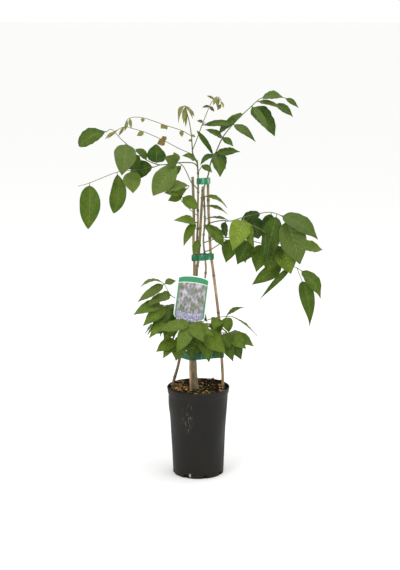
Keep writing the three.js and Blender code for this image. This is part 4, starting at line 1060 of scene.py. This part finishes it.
def litter_tree():
    """Bark chips, crumbs and moss scattered over the top of the soil."""
    tree, group, end = new_tree("Compost litter", {
        "Bark chips": "Float", "Wood chips": "Float", "Crumbs": "Float", "Moss": "Float",
        "Seed": "Int", "Compost": "Material", "Red bark": "Material", "Pale wood": "Material",
        "Green moss": "Material",
    })
    sizes = group.outputs
    ground = {"Geometry": sizes["Geometry"], "Material": sizes["Compost"]}
    parts = [add(tree, "GeometryNodeSetMaterial", ground)]
    place = add(tree, "GeometryNodeInputPosition")
    normal = add(tree, "GeometryNodeInputNormal")
    # Lumps 4 mm wide break up each chip
    lumps = add(tree, "ShaderNodeTexNoise", {"Scale": 260.0, "Detail": 2.0}).outputs["Color"]
    known = dict(
        up=add(tree, "ShaderNodeSeparateXYZ", [normal]).outputs["Z"],
        z=add(tree, "ShaderNodeSeparateXYZ", [place]).outputs["Z"], place=place,
        first=sizes["Seed"], lumps=lumps, half=(0.5, 0.5, 0.5),
    )
    # Litter lies on the faces that look up, above a height of 0.2 m
    known = work_out(tree, known, "top = (up > 0.6) * (z > 0.2)")
    chip = add(tree, "GeometryNodeMeshCube", {
        "Size": (0.0105, 0.0052, 0.0022), "Vertices X": 4, "Vertices Y": 3, "Vertices Z": 2,
    })
    crumb = add(tree, "GeometryNodeMeshIcoSphere", {"Radius": 0.0017, "Subdivisions": 1})
    cushion = add(tree, "GeometryNodeMeshIcoSphere", {"Radius": 0.0021, "Subdivisions": 2})
    # Shape, density, skin, least and most size, how far its points stray, and the middle and
    # radius of its patch
    kinds = [
        (chip, "Bark chips", "Red bark", (0.7, 1.5), 0.0014, (-0.047, 0.006, 0.22), 0.028),
        (chip, "Wood chips", "Pale wood", (0.4, 1.1), 0.0014, (0.014, -0.062, 0.22), 0.034),
        (crumb, "Crumbs", "Compost", (0.5, 1.8), 0.0012, (0.0, 0.0, 0.22), 0.4),
        (cushion, "Moss", "Green moss", (0.4, 1.3), 0.0016, (0.006, -0.03, 0.22), 0.07),
    ]
    for number, kind in enumerate(kinds, 1):
        shape, density, skin, (small, large), rough, middle, radius = kind
        own = dict(
            known, middle=middle, radius=radius, most=sizes[density], number=float(number),
            rough=2 * rough,
        )
        values = work_out(tree, own, """
            density = maximum(1.05 - v_distance(place, middle) / radius, 0.04) * most
            seed = first + number
            broken = v_scale(v_subtract(lumps, half), rough)
        """)
        points = add(tree, "GeometryNodeDistributePointsOnFaces", {
            "Mesh": sizes["Geometry"], "Selection": known["top"], "Density": values["density"],
            "Seed": values["seed"],
        })
        size, spin, shade = [
            add(tree, "FunctionNodeRandomValue", {"Min": least, "Max": most, "Seed": seed},
                data_type=data_type)
            for least, most, seed, data_type in (
                (small, large, number, "FLOAT"),
                ((-0.5, -0.5, 0.0), (0.5, 0.5, 6.28), number + 10, "FLOAT_VECTOR"),
                (0.2, 0.8, number + 20, "FLOAT"),
            )
        ]
        copies = add(tree, "GeometryNodeInstanceOnPoints", {
            "Points": points, "Instance": shape, "Rotation": spin, "Scale": size,
        })
        toned = add(tree, "GeometryNodeStoreNamedAttribute", {
            "Geometry": copies, "Name": "tint", "Value": shade,
        }, data_type="FLOAT", domain="INSTANCE")
        real = add(tree, "GeometryNodeRealizeInstances", [toned])
        torn = add(tree, "GeometryNodeSetPosition", {"Geometry": real, "Offset": values["broken"]})
        parts.append(add(tree, "GeometryNodeSetMaterial", {
            "Geometry": torn, "Material": sizes[skin],
        }))
    finish_tree(tree, parts, end)
    return tree


# What a user would change


def amount(name, value, description, **settings):
    return bpy.props.FloatProperty(
        name=name, description=description, default=value, **{"min": 0.0, **settings}
    )


def length(name, value, description):
    settings = dict(unit="LENGTH", subtype="DISTANCE", precision=4)
    return amount(name, value, description, **settings)


def colour(name, value, description):
    return bpy.props.FloatVectorProperty(
        name=name, description=description, default=linear(value), size=4, min=0.0, max=1.0,
        subtype="COLOR",
    )


class WisteriaPotSettings(bpy.types.PropertyGroup):
    wall: length("Wall", POT["wall"] * MM, "Thickness of the pot's wall")
    waviness: length("Waviness", 0.0008, "How far the soft wall strays from round")
    colour: colour("Polyethylene", "#171613", "Colour of the pot")


class WisteriaSoilSettings(bpy.types.PropertyGroup):
    bark: amount("Bark chips", 80000.0, "Bark chips to a square metre in their patch")
    wood: amount("Wood chips", 34000.0, "Wood chips to a square metre in their patch")
    crumbs: amount("Crumbs", 90000.0, "Crumbs of compost to a square metre")
    moss: amount("Moss", 30000.0, "Cushions of moss to a square metre")
    seed: bpy.props.IntProperty(name="Seed", description="Seed of the scatter", default=4)


class WisteriaWoodSettings(bpy.types.PropertyGroup):
    cane_radius: length("Cane radius", CANE_RADIUS * MM, "Radius of the bamboo canes")
    bark_relief: amount(
        "Bark relief", 0.35, "Depth of the bark as a share of the stem's radius", subtype="FACTOR"
    )


class WisteriaTieSettings(bpy.types.PropertyGroup):
    thick: length("Tape thickness", TAPE["thick"] * MM, "Thickness of the wound tape")
    tall: length("Tape width", TAPE["tall"] * MM, "Width of the tape")
    wrinkle: length("Wrinkles", 0.0004, "Depth of the wrinkles in the tape")


class WisteriaLabelSettings(bpy.types.PropertyGroup):
    bow: length("Bow", 0.0015, "How far the sheet bows forwards in the middle")


class WisteriaLeafSettings(bpy.types.PropertyGroup):
    blade: length("Blade", 0.0006, "Thickness of a leaflet's blade")
    petiolule: length("Petiolule", 0.0008, "Radius of the short stem of each leaflet")
    fullness: amount("Fullness", 1.06, "Width of the leaflets beside the solid ones", min=0.1)


class WisteriaStageSettings(bpy.types.PropertyGroup):
    floor: colour("Floor", "#fbfbf9", "Colour of the plain floor")
    sky: amount("Sky", 1.0, "Strength of the even light all round")
    key: amount("Key light", 30.0, "Power of the large soft light", unit="POWER")


# Shapes that more than one piece uses


def slab_grid(name, columns, rows, place, thick, materials):
    """A closed sheet over a grid: place(a, b) gives a point in millimetres for a and b from
    0 to 1, and thick is measured along +Y. Its UV map holds a and b."""
    vertices, shares = [], []
    for back in (0, 1):
        for row in range(rows + 1):
            for column in range(columns + 1):
                share = column / columns, row / rows
                vertices.append(Vector(place(*share)) + Vector((0, back * thick, 0)))
                shares.append(share)
    wide = columns + 1
    layer = wide * (rows + 1)
    faces = []
    for row in range(rows):
        for column in range(columns):
            k = row * wide + column
            faces.append((k, k + 1, k + wide + 1, k + wide))
            faces.append((layer + k, layer + k + wide, layer + k + wide + 1, layer + k + 1))
    edge = list(range(columns))
    edge += [columns + row * wide for row in range(rows)]
    edge += [layer - 1 - column for column in range(columns)]
    edge += [(rows - row) * wide for row in range(rows)]
    for here, there in zip(edge, edge[1:] + edge[:1]):
        faces.append((here, layer + here, layer + there, there))
    piece = new_piece(name, vertices, faces=faces, materials=materials)
    uv = piece.data.uv_layers.new(name="UVMap")
    for loop in piece.data.loops:
        uv.data[loop.index].uv = shares[loop.vertex_index]
    return piece


def lathe(name, profile, segments, materials, stray=None):
    """Turns a profile of (radius, height) rows in millimetres, from pole to pole. stray(turn,
    height) says how far a point strays from its radius."""
    vertices, faces = [(0, 0, profile[0][1])], []
    rings = profile[1:-1]
    for radius, z in rings:
        for k in range(segments):
            turn = 2 * math.pi * k / segments
            here = radius + (stray(turn, z) if stray else 0)
            vertices.append((here * math.cos(turn), here * math.sin(turn), z))
    vertices.append((0, 0, profile[-1][1]))
    last = len(vertices) - 1
    for k in range(segments):
        after = (k + 1) % segments
        faces.append((0, 1 + after, 1 + k))
        for ring in range(len(rings) - 1):
            low, high = 1 + ring * segments, 1 + (ring + 1) * segments
            faces.append((low + k, low + after, high + after, high + k))
        top = 1 + (len(rings) - 1) * segments
        faces.append((top + k, top + after, last))
    return new_piece(name, vertices, faces=faces, materials=materials)


def band(name, circles, thick, bottom, top, materials, wrinkle=0.0, lap=0.0):
    """Tape wound tight round a set of stems, given as (x, y, radius) circles: a closed ring
    that bows a little, wrinkles, and is thicker by lap where its end overlaps."""
    count, rows, fine_count, bow = 120, 8, 720, 0.35

    def hull(turn, grow):
        """The corner of the stretched loop that faces a direction, grown outwards."""
        way = Vector((math.cos(turn), math.sin(turn)))
        x, y, radius = max(circles, key=lambda c: c[0] * way.x + c[1] * way.y + c[2])
        return Vector((x, y)) + way * (radius + grow)

    # Even steps round the loop, found on a finer one
    fine = [hull(2 * math.pi * k / fine_count, CLEARANCE) for k in range(fine_count)]
    gone = [0.0]
    for a, b in zip(fine, fine[1:] + fine[:1]):
        gone.append(gone[-1] + (b - a).length)
    loop = []
    spot = 0
    for k in range(count):
        want = gone[-1] * k / count
        while gone[spot + 1] < want:
            spot += 1
        part = (want - gone[spot]) / max(gone[spot + 1] - gone[spot], 1e-9)
        loop.append(fine[spot % fine_count].lerp(fine[(spot + 1) % fine_count], part))
    vertices, faces = [], []
    for k, point in enumerate(loop):
        along = (loop[(k + 1) % count] - loop[k - 1]).normalized()
        out = Vector((along.y, -along.x))
        # The end laps over about 22 of the 120 steps
        layer = lap * clamp(6 - abs(k - count * 0.72) * 0.5)
        for outer in (0, 1):
            for row in range(rows + 1):
                share = row / rows if outer else 1 - row / rows
                place = Vector((*point, bottom + (top - bottom) * share))
                # Wrinkles about 6 mm wide, and rims that wave by up to half a millimetre
                crease = noise.noise(place * 0.16 + Vector((0, 0, k * 0.03))) * wrinkle
                proud = bow * math.sin(math.pi * share) + crease + wrinkle * 0.5
                grow = outer * (thick + layer) + proud * (0.4 + 0.6 * outer)
                end_wave = 0.5 * noise.noise(Vector((k * 0.21, share * 4, bottom)))
                z = place.z + (end_wave if share in (0, 1) else 0)
                vertices.append((point.x + out.x * grow, point.y + out.y * grow, z))
    ring = 2 * (rows + 1)
    for k in range(count):
        here, there = k * ring, ((k + 1) % count) * ring
        for row in range(ring):
            after = (row + 1) % ring
            faces.append((here + row, there + row, there + after, here + after))
    return new_piece(name, vertices, faces=faces, materials=materials)


def chains(name, lines, materials):
    """One chain of edges for each line of (x, y, z, radius) rows in millimetres."""
    vertices, edges, radii = [], [], []
    for line in lines:
        first = len(vertices)
        vertices += [row[:3] for row in line]
        radii += [row[3] * MM for row in line]
        edges += [(k, k + 1) for k in range(first, len(vertices) - 1)]
    piece = new_piece(name, vertices, edges=edges, materials=materials)
    store(piece, "thickness", "FLOAT", radii)
    return piece


# Operators: one for each piece or group of like pieces


class WISTERIA_OT_pot(bpy.types.Operator):
    """Moulds the nursery pot: a tapered wall, a flared and rolled lip, and slots round its base"""

    bl_idname = "wisteria.pot"
    bl_label = "Nursery pot"

    def execute(self, context):
        settings = context.scene.wisteria_pot
        wall, waviness = settings.wall / MM, settings.waviness / MM
        top, rim, body, base = [POT[name] for name in ("height", "rim", "body", "base")]
        floor, foot, roll = POT["floor"], POT["foot"], rim - POT["roll"]
        lip, step, inside = top - POT["lip"], body + POT["step"], base - wall
        # A base that stands on a low rim, a wall, a rolled lip, and the inside
        profile = [(0, 1.2), (base - 14, 1.2), (base - 12, 0.0), (base - 3.2, 0.0),
                   (base - 1.2, 0.5), (base - 0.2, 1.7), (base, foot)]
        for share in (k / 24 for k in range(1, 24)):
            profile.append((base + (body - base) * share, foot + (lip - foot) * share))
        profile += [
            (body, lip), (body + 0.3, lip + 1), (step - 0.4, lip + 4.2), (step, lip + 5.4),
            (rim - 1.2, top - 5.4), (rim - 0.7, top - 4.2), (rim - 0.1, top - 3), (rim, top - 1.8),
            (rim - 0.3, top - 0.7), (rim - 0.9, top - 0.1), (rim - 1.7, top), (roll, top - 0.7),
            (roll - 0.1, top - 4), (step - wall, lip + 4), (body - wall + 0.3, lip + 1.2),
            (body - wall, lip), (inside, floor + foot), (inside - 1, floor + 0.9),
            (inside - foot, floor), (0, floor),
        ]

        def stray(turn, z):
            """The soft wall waves, and bulges under the lip on its left."""
            waves = math.sin(3 * turn + z * 0.021) + 0.7 * math.sin(5 * turn - z * 0.034)
            share = math.sin(math.pi * clamp(z / lip))
            bulge = 2.4 * max(-math.cos(turn), 0) ** 2 * math.exp(-(((z - 182) / 24) ** 2))
            return bulge - waviness * share * (1 + 0.6 * waves) if z > 4 else 0

        pot = lathe("pot_shell", profile, 120, [polyethylene_material(settings)], stray)
        # The slots are cut by rounded blocks
        mesh = bmesh.new()
        for k in range(POT["slots"]):
            turned = Matrix.Rotation(2 * math.pi * (k + 0.35) / POT["slots"], 4, "Z")
            made = bmesh.ops.create_cube(mesh, size=1.0)
            size = Matrix.Diagonal((POT["slot_wide"] * MM, 9 * MM, 2 * POT["slot_tall"] * MM, 1))
            place = turned @ Matrix.Translation((0, base * MM, 0)) @ size
            bmesh.ops.transform(mesh, matrix=place, verts=made["verts"])
        bmesh.ops.bevel(mesh, geom=mesh.edges[:], offset=2.2 * MM, segments=3, affect="EDGES")
        cutter = new_piece("slot_cutter", [])
        mesh.to_mesh(cutter.data)
        mesh.free()
        cut = pot.modifiers.new("Slots", "BOOLEAN")
        cut.object, cut.operation, cut.solver = cutter, "DIFFERENCE", "EXACT"
        depsgraph = context.evaluated_depsgraph_get()
        cut_pot = pot.evaluated_get(depsgraph)
        pot.data = bpy.data.meshes.new_from_object(cut_pot, depsgraph=depsgraph)
        pot.modifiers.clear()
        bpy.data.objects.remove(cutter)
        smooth(pot)
        stands_for(pot, "pot", slot="pot")
        return {"FINISHED"}


class WISTERIA_OT_soil(bpy.types.Operator):
    """Fills the pot with bark compost and scatters chips, crumbs and moss over its top"""

    bl_idname = "wisteria.soil"
    bl_label = "Compost"

    def execute(self, context):
        settings = context.scene.wisteria_soil
        # Grit 2.4 mm wide in the compost, grain of 1.4 mm in the chips and tufts of 0.7 mm
        compost, bark, wood, moss = [compost_material(*row) for row in (
            ("damp_bark_compost", [(0.15, "#0d0b05"), (0.5, "#1c180d"), (0.85, "#352c18")], 420.0),
            ("red_bark_chip",
             [(0.1, "#36261a"), (0.4, "#795230"), (0.65, "#a57c50"), (0.9, "#d0b386")], 700.0),
            ("pale_wood_chip",
             [(0.1, "#3a301a"), (0.45, "#77683f"), (0.7, "#9c8c5c"), (0.95, "#c9bd8e")], 700.0),
            ("green_moss", [(0.2, "#2e3212"), (0.6, "#5b6026"), (0.9, "#a5a356")], 1500.0),
        )]

        def height(x, y):
            """The uneven top, heaped up towards the back."""
            broad = math.sin(x / 17 + 1) * math.cos(y / 14)
            fine = math.sin(x / 5.3) * math.sin(y / 4.7 + 2)
            grit = noise.noise(Vector((x, y, 0)) * 0.35)
            mound = SOIL["mound"] * clamp((y - SOIL["mound_from"]) / SOIL["mound_run"])
            return SOIL["level"] + mound + SOIL["relief"] * (0.6 * broad + 0.5 * fine + 0.3 * grit)

        foot = POT["base"] - POT["wall"] - CLEARANCE - 3.4
        side = POT["body"] - POT["wall"] - CLEARANCE
        floor = POT["floor"] + CLEARANCE
        # A body that fills the pot, and a top of 36 rings
        profile = [(0, floor), (foot, floor), (foot + 2.6, floor + 4),
                   (side - 0.2, POT["height"] - POT["lip"])]
        profile += [(SOIL["radius"] * (1 - k / 36), SOIL["level"]) for k in range(36)]
        profile.append((0, SOIL["level"]))
        soil = lathe("compost", profile, 108, [compost])
        for vertex in soil.data.vertices:
            if vertex.co.z > (SOIL["level"] - 1) * MM:
                vertex.co.z = height(vertex.co.x / MM, vertex.co.y / MM) * MM
        store(soil, "tint", "FLOAT", [0.45] * len(soil.data.vertices))
        grow(soil, litter_tree(), {
            "Bark chips": settings.bark, "Wood chips": settings.wood, "Crumbs": settings.crumbs,
            "Moss": settings.moss, "Seed": settings.seed, "Compost": compost, "Red bark": bark,
            "Pale wood": wood, "Green moss": moss,
        }, keep=["tint"])
        stands_for(soil, "soil", slot="soil")
        return {"FINISHED"}


class WISTERIA_OT_canes(bpy.types.Operator):
    """Stands the three bamboo canes in the compost, each with its nodes and a sawn hollow top"""

    bl_idname = "wisteria.canes"
    bl_label = "Bamboo canes"

    # Each cane's tint up to foot_height and from upper_height on, which are in metres
    tints = {"cane_front": (0.0, -0.14), "cane_left": (-0.38, 0.02), "cane_right": (-0.03, 0.03)}
    foot_height, upper_height = 0.25, 0.5

    def execute(self, context):
        settings = context.scene.wisteria_wood
        skin = bamboo_material()
        tree = cane_tree()
        for node, points in CANES.items():
            cane = chains(f"bamboo_{node}", [[(*point, CANE_RADIUS) for point in points]], [skin])
            grow(cane, tree, {
                "Radius": settings.cane_radius, "Sides": 24, "Steps": 40,
                "Offset": points[0][0] * MM, "Skin": skin,
            }, keep=["node_gap"])
            places = [vertex.co for vertex in cane.data.vertices]
            foot, upper = self.tints[node]
            rise = self.upper_height - self.foot_height
            shares = [clamp((place.z - self.foot_height) / rise) for place in places]
            store(cane, "tint", "FLOAT", [foot + (upper - foot) * share for share in shares])
            # The strip beside the trunk is painted shade, with some reddish peeling
            shade_and_peeling_values = map(self.shade_and_peeling, places) if node == "cane_front" else [0.0] * len(places)
            store(cane, "shade_and_peeling", "FLOAT", shade_and_peeling_values)
            self.bore(cane)
            stands_for(cane, node, slot="cane")
        return {"FINISHED"}

    def shade_and_peeling(self, place):
        """How much painted shade, reddish with some peeling skin, a point of the front cane takes,
        in the strip up its right side, next to the trunk. Down in the compost the strip is fainter."""
        side = clamp((place.x - SHADE_AND_PEELING["start"] * MM) / (SHADE_AND_PEELING["reach"] * MM))
        fade = clamp((SHADE_AND_PEELING["high"] * MM - place.z) / (SHADE_AND_PEELING["fade"] * MM))
        return SHADE_AND_PEELING["strength"] * side * (fade if place.z > SHADE_AND_PEELING["low"] * MM else SHADE_AND_PEELING["below"])

    def bore(self, cane):
        """Opens the hollow in the sawn top, with a wall of 1.1 mm and 6 mm deep."""
        mesh = bmesh.new()
        mesh.from_mesh(cane.data)
        caps = [face for face in mesh.faces if len(face.verts) > 4]
        cap = max(caps, key=lambda face: face.calc_center_median().z)
        bmesh.ops.inset_region(mesh, faces=[cap], thickness=1.1 * MM)
        for edge in cap.edges:
            edge.smooth = False
        pushed = bmesh.ops.extrude_face_region(mesh, geom=[cap])
        bmesh.ops.delete(mesh, geom=[cap], context="FACES_ONLY")
        sunk = [item for item in pushed["geom"] if isinstance(item, bmesh.types.BMVert)]
        bmesh.ops.translate(mesh, verts=sunk, vec=(0, 0, -6 * MM))
        mesh.to_mesh(cane.data)
        mesh.free()


class WISTERIA_OT_trunk(bpy.types.Operator):
    """Grows the trunk and the two stems that climb from its fork"""

    bl_idname = "wisteria.trunk"
    bl_label = "Trunk and climbing stems"

    def execute(self, context):
        settings = context.scene.wisteria_wood
        # Fibres 5 mm wide, and green growth from half-way between the upper ties
        bark = stem_material("wisteria_bark", "#523e28", "#a89b76", 210.0, green_from=0.66)
        trunk = chains("trunk_and_stems", [TRUNK, STEM_LEFT, STEM_RIGHT], [bark])
        grow(trunk, wood_tree(), {
            "Sides": 28, "Steps": 22, "Relief": settings.bark_relief, "Bark": bark,
        }, keep=["scar"])
        stands_for(trunk, "trunk", slot="bark")
        return {"FINISHED"}


class WISTERIA_OT_ties(bpy.types.Operator):
    """Winds the three bands of green tape round the canes and stems"""

    bl_idname = "wisteria.ties"
    bl_label = "Tape bands"

    def execute(self, context):
        settings = context.scene.wisteria_tie
        skin = tape_material()
        thick, tall = settings.thick / MM, settings.tall / MM
        for node, (middle, canes, stems, tint) in TIES.items():
            bottom, top = middle - tall / 2, middle + tall / 2
            lines = [(CANES[cane], TAPE["node_swell"] * CANE_RADIUS) for cane in canes]
            lines += [(stem, TAPE["stem_radius"]) for stem in stems]
            circles = [(*crossing(line, z), radius)
                       for z in (bottom, middle, top) for line, radius in lines]
            tie = band(f"tape_{node}", circles, thick, bottom, top, [skin],
                       wrinkle=settings.wrinkle / MM, lap=TAPE["lap"])
            # Each band's tint is painted shade, darkest on the low band under the leaves
            store(tie, "tint", "FLOAT", [tint] * len(tie.data.vertices))
            smooth(tie, 50)
            stands_for(tie, node, slot="tape")
        return {"FINISHED"}


class WISTERIA_OT_label(bpy.types.Operator):
    """Hangs the printed picture tag, with its strap, from the front cane"""

    bl_idname = "wisteria.label"
    bl_label = "Picture tag"

    def execute(self, context):
        settings = context.scene.wisteria_label
        skin = label_material()
        bow, thick = settings.bow / MM, LABEL["thick"]
        tilt = Matrix.Rotation(math.radians(LABEL["tilt"]), 3, "Y")
        centre = Vector(LABEL["centre"])

        def place(a, b):
            # Columns crowd towards the sides, where the arcs turn down fast
            across = -math.cos(math.pi * a)
            fall = math.sqrt(max(0, 1 - across * across))
            high = LABEL["half_side"] + LABEL["rise"] * fall
            low = -LABEL["half_side"] - LABEL["drop"] * fall
            front = -thick - bow * (1 - across * across)
            flat = Vector((LABEL["half_wide"] * across, front, low + (high - low) * b))
            return tilt @ flat + centre

        tag = slab_grid("picture_tag", 40, 40, place, thick, [skin])
        for loop, item in zip(tag.data.loops, tag.data.uv_layers["UVMap"].data):
            item.uv.x = 0.5 - 0.5 * math.cos(math.pi * item.uv.x)
            # The back is not printed: its map lies outside the print
            if tag.data.polygons[loop.index // 4].normal.y > 0.5:
                item.uv.x += 2
        height = centre.z + LABEL["strap_rise"]
        bottom, top = height - LABEL["strap_half_tall"], height + LABEL["strap_half_tall"]
        x, y = crossing(CANES["cane_front"], height)
        # Round the cane, and through the tag a little behind its face
        ends = [(x, y, CANE_RADIUS + 0.4), (x, centre.y + 4 - bow, 3)]
        strap = band("tag_strap", ends, LABEL["strap_thick"], bottom, top, [skin])
        # The strap is white, as the margin of the print is
        for item in strap.data.uv_layers.new(name="UVMap").data:
            item.uv = (0.01, 0.01)
        with context.temp_override(active_object=tag, selected_editable_objects=[tag, strap]):
            bpy.ops.object.join()
        smooth(tag, 50)
        stands_for(tag, "label", slot="label")
        return {"FINISHED"}


class WISTERIA_OT_fronds(bpy.types.Operator):
    """Grows every leafy stem, frond and young shoot, each with its leaflets on their stalks"""

    bl_idname = "wisteria.fronds"
    bl_label = "Fronds and shoots"

    tints = {"leaf": 0.5, "leaf_dark": 0.36, "leaf_light": 0.6, "young_growth": 0.5}

    def execute(self, context):
        settings = context.scene.wisteria_leaf
        greens = [(0.0, "#1b2f04"), (0.25, "#2d4808"), (0.5, "#4c6010"), (0.7, "#5f751c"),
                  (1.0, "#7f942c")]
        olives = [(0.1, "#44421a"), (0.4, "#6e6c33"), (0.7, "#908e4c"), (1.0, "#a9a86a")]
        # The green leaf takes a painted grey sheen on some blades, and the young leaf the brown
        # tone of its buds
        leaf = leaf_material("living_wisteria_leaf", greens, "#5d6c38", "#7f9154", "#6c7a4c", 0.03)
        young = leaf_material("downy_young_leaf", olives, "#7c6029", "#a3a270", "#8d8a58", 0.12)
        # Fibres 2 mm wide
        green = stem_material("green_leaf_stalk", "#3d4a1c", "#6f7a40", 500.0)
        bronze = stem_material("downy_young_stem", "#3f421b", "#76753a", 500.0)
        tree = frond_tree()
        backs = [back_frond(index, *row) for index, row in enumerate(BACK_FRONDS)]
        for index, frond in enumerate(FRONDS + backs):
            fresh = frond["slot"] == "young_growth"
            skins = [young, bronze] if fresh else [leaf, green]
            piece = self.skeleton(index, frond, settings, skins)
            grow(piece, tree, {
                "Blade thickness": settings.blade, "Petiolule radius": settings.petiolule,
                "Stations": 20 if fresh else 34, "Rows": 9 if fresh else 15, "Sides": 8, "Steps": 8,
                "Leaf": skins[0], "Stalk": skins[1],
            }, keep=["blade", "tint", "bloom"])
            stands_for(piece, frond["name"], slot=frond["slot"])
        return {"FINISHED"}

    def skeleton(self, index, frond, settings, skins):
        """Chains of edges for the stalks, and a loose vertex with its sizes for each leaflet."""
        lines, roots, leaves = [], [], []
        for one in frond["stalks"]:
            last = len(one["points"]) - 1
            slim = one["tip_radius"] - one["root_radius"]
            lines.append([(*point, one["root_radius"] + slim * k / last)
                          for k, point in enumerate(one["points"])])
            leaves += one["leaflets"]
            roots += [Vector(between(one["points"], leaf["knot"])) for leaf in one["leaflets"]]
        piece = chains(f"{frond['name']}_leaflets", lines, skins)
        stalk_knots = len(piece.data.vertices)
        piece.data.vertices.add(len(roots))
        for vertex, root in zip(piece.data.vertices[stalk_knots:], roots):
            vertex.co = root * MM
        sizes = {name: [0.0] * stalk_knots for name in LEAFLET_SIZES + ["tint", "bloom"]}
        ways = {name: [(0.0, 0.0, 0.0)] * stalk_knots for name in LEAFLET_WAYS}
        for k, (root, leaf) in enumerate(zip(roots, leaves)):
            reach = Vector(leaf["tip"]) - root
            along = reach.normalized()
            up = Vector(leaf["face"])
            up = (up - along * up.dot(along)).normalized()
            long = reach.length
            widest = leaf["root"] / (leaf["root"] + leaf["point"])
            own = dict(
                start=PETIOLULE_SHARE["long" if long > LONG_LEAFLET else "short"],
                # The outline's greatest width before it is scaled
                peak=widest ** leaf["root"] * (1 - widest) ** leaf["point"],
                wide=leaf["wide"] * MM * settings.fullness,
                phase=float(leaf["knot"]),
                seed=2.3 * index + 1.7 * k,
                sway=(leaf["sway"] + 0.03 * wobble(index, k)) * long * MM,
                tint=self.tints[frond["slot"]] + leaf["tint"] + 0.07 * wobble(index + 3, k),
                reach=reach * MM, up=up, across=up.cross(along),
            )
            for table in (sizes, ways):
                for name, values in table.items():
                    values.append(own[name] if name in own else leaf[name])
        for name, values in sizes.items():
            store(piece, name, "FLOAT", values)
        for name, values in ways.items():
            store(piece, name, "FLOAT_VECTOR", values)
        store(piece, "is_leaflet", "BOOLEAN", [False] * stalk_knots + [True] * len(roots))
        return piece


class WISTERIA_OT_stage(bpy.types.Operator):
    """Sets the plain floor, the soft studio light and the camera at the photograph's angle"""

    bl_idname = "wisteria.stage"
    bl_label = "Stage"

    def execute(self, context):
        settings = context.scene.wisteria_stage
        scene = context.scene
        material, tree = new_material("plain_pale_floor")
        finish_material(tree, list(settings.floor), 0.9)
        # The floor's edge lies out of sight, 40 m away
        reach = 40000
        corners = [(-reach, -reach, 0), (reach, -reach, 0), (reach, reach, 0), (-reach, reach, 0)]
        new_piece("floor", corners, faces=[(0, 1, 2, 3)], materials=[material])

        world = bpy.data.worlds.new("even_light")
        scene.world = world
        world.use_nodes = True
        background = world.node_tree.nodes["Background"].inputs
        background["Color"].default_value = linear("#ffffff")
        background["Strength"].default_value = settings.sky

        # Name, place, width and power of each soft light
        lights = [
            ("key_light", (-1.6, -2.4, 2.8), 1.8, settings.key),
            ("top_light", (0.6, -0.4, 2.9), 1.6, settings.key * 0.6),
            ("rim_light", (1.8, 1.9, 2.0), 1.4, settings.key * 0.35),
        ]
        target = Vector((0, 0, 0.5))
        for name, place, size, power in lights:
            light = bpy.data.lights.new(name, "AREA")
            light.shape, light.size, light.energy = "DISK", size, power
            lamp = bpy.data.objects.new(name, light)
            lamp.location = place
            lamp.rotation_euler = (target - Vector(place)).to_track_quat("-Z", "Y").to_euler()
            scene.collection.objects.link(lamp)

        # The photograph was taken from about 3.7 m away, a little above the plant, looking down
        camera = bpy.data.cameras.new("camera")
        camera.lens, camera.sensor_width = 94.5, 36.0
        viewer = bpy.data.objects.new("camera", camera)
        viewer.location = (0.0044, -3.7, 1.25)
        viewer.rotation_euler = (math.radians(90 - 11.58), 0, 0)
        scene.collection.objects.link(viewer)
        scene.camera = viewer
        scene.view_settings.view_transform = "Standard"
        return {"FINISHED"}


class WISTERIA_PT_panel(bpy.types.Panel):
    """The pieces of the plant, in the order in which they are made"""

    bl_label = "Potted wisteria"
    bl_idname = "WISTERIA_PT_panel"
    bl_space_type = "VIEW_3D"
    bl_region_type = "UI"
    bl_category = "Wisteria"

    def draw(self, context):
        for name, settings in SETTINGS.items():
            box = self.layout.box()
            for prop in settings.__annotations__:
                box.prop(getattr(context.scene, name), prop)
        for operator in OPERATORS:
            self.layout.operator(operator.bl_idname)


SETTINGS = {
    "wisteria_pot": WisteriaPotSettings,
    "wisteria_soil": WisteriaSoilSettings,
    "wisteria_wood": WisteriaWoodSettings,
    "wisteria_tie": WisteriaTieSettings,
    "wisteria_label": WisteriaLabelSettings,
    "wisteria_leaf": WisteriaLeafSettings,
    "wisteria_stage": WisteriaStageSettings,
}
OPERATORS = [
    WISTERIA_OT_stage,
    WISTERIA_OT_pot,
    WISTERIA_OT_soil,
    WISTERIA_OT_canes,
    WISTERIA_OT_trunk,
    WISTERIA_OT_ties,
    WISTERIA_OT_label,
    WISTERIA_OT_fronds,
]


def register():
    for cls in (*SETTINGS.values(), *OPERATORS, WISTERIA_PT_panel):
        bpy.utils.register_class(cls)
    for name, settings in SETTINGS.items():
        setattr(bpy.types.Scene, name, bpy.props.PointerProperty(type=settings))


def unregister():
    for name in SETTINGS:
        delattr(bpy.types.Scene, name)
    for cls in (WISTERIA_PT_panel, *reversed(OPERATORS), *SETTINGS.values()):
        bpy.utils.unregister_class(cls)


def main():
    register()
    for operator in OPERATORS:
        group, name = operator.bl_idname.split(".")
        getattr(getattr(bpy.ops, group), name)()


if __name__ == "__main__":
    main()
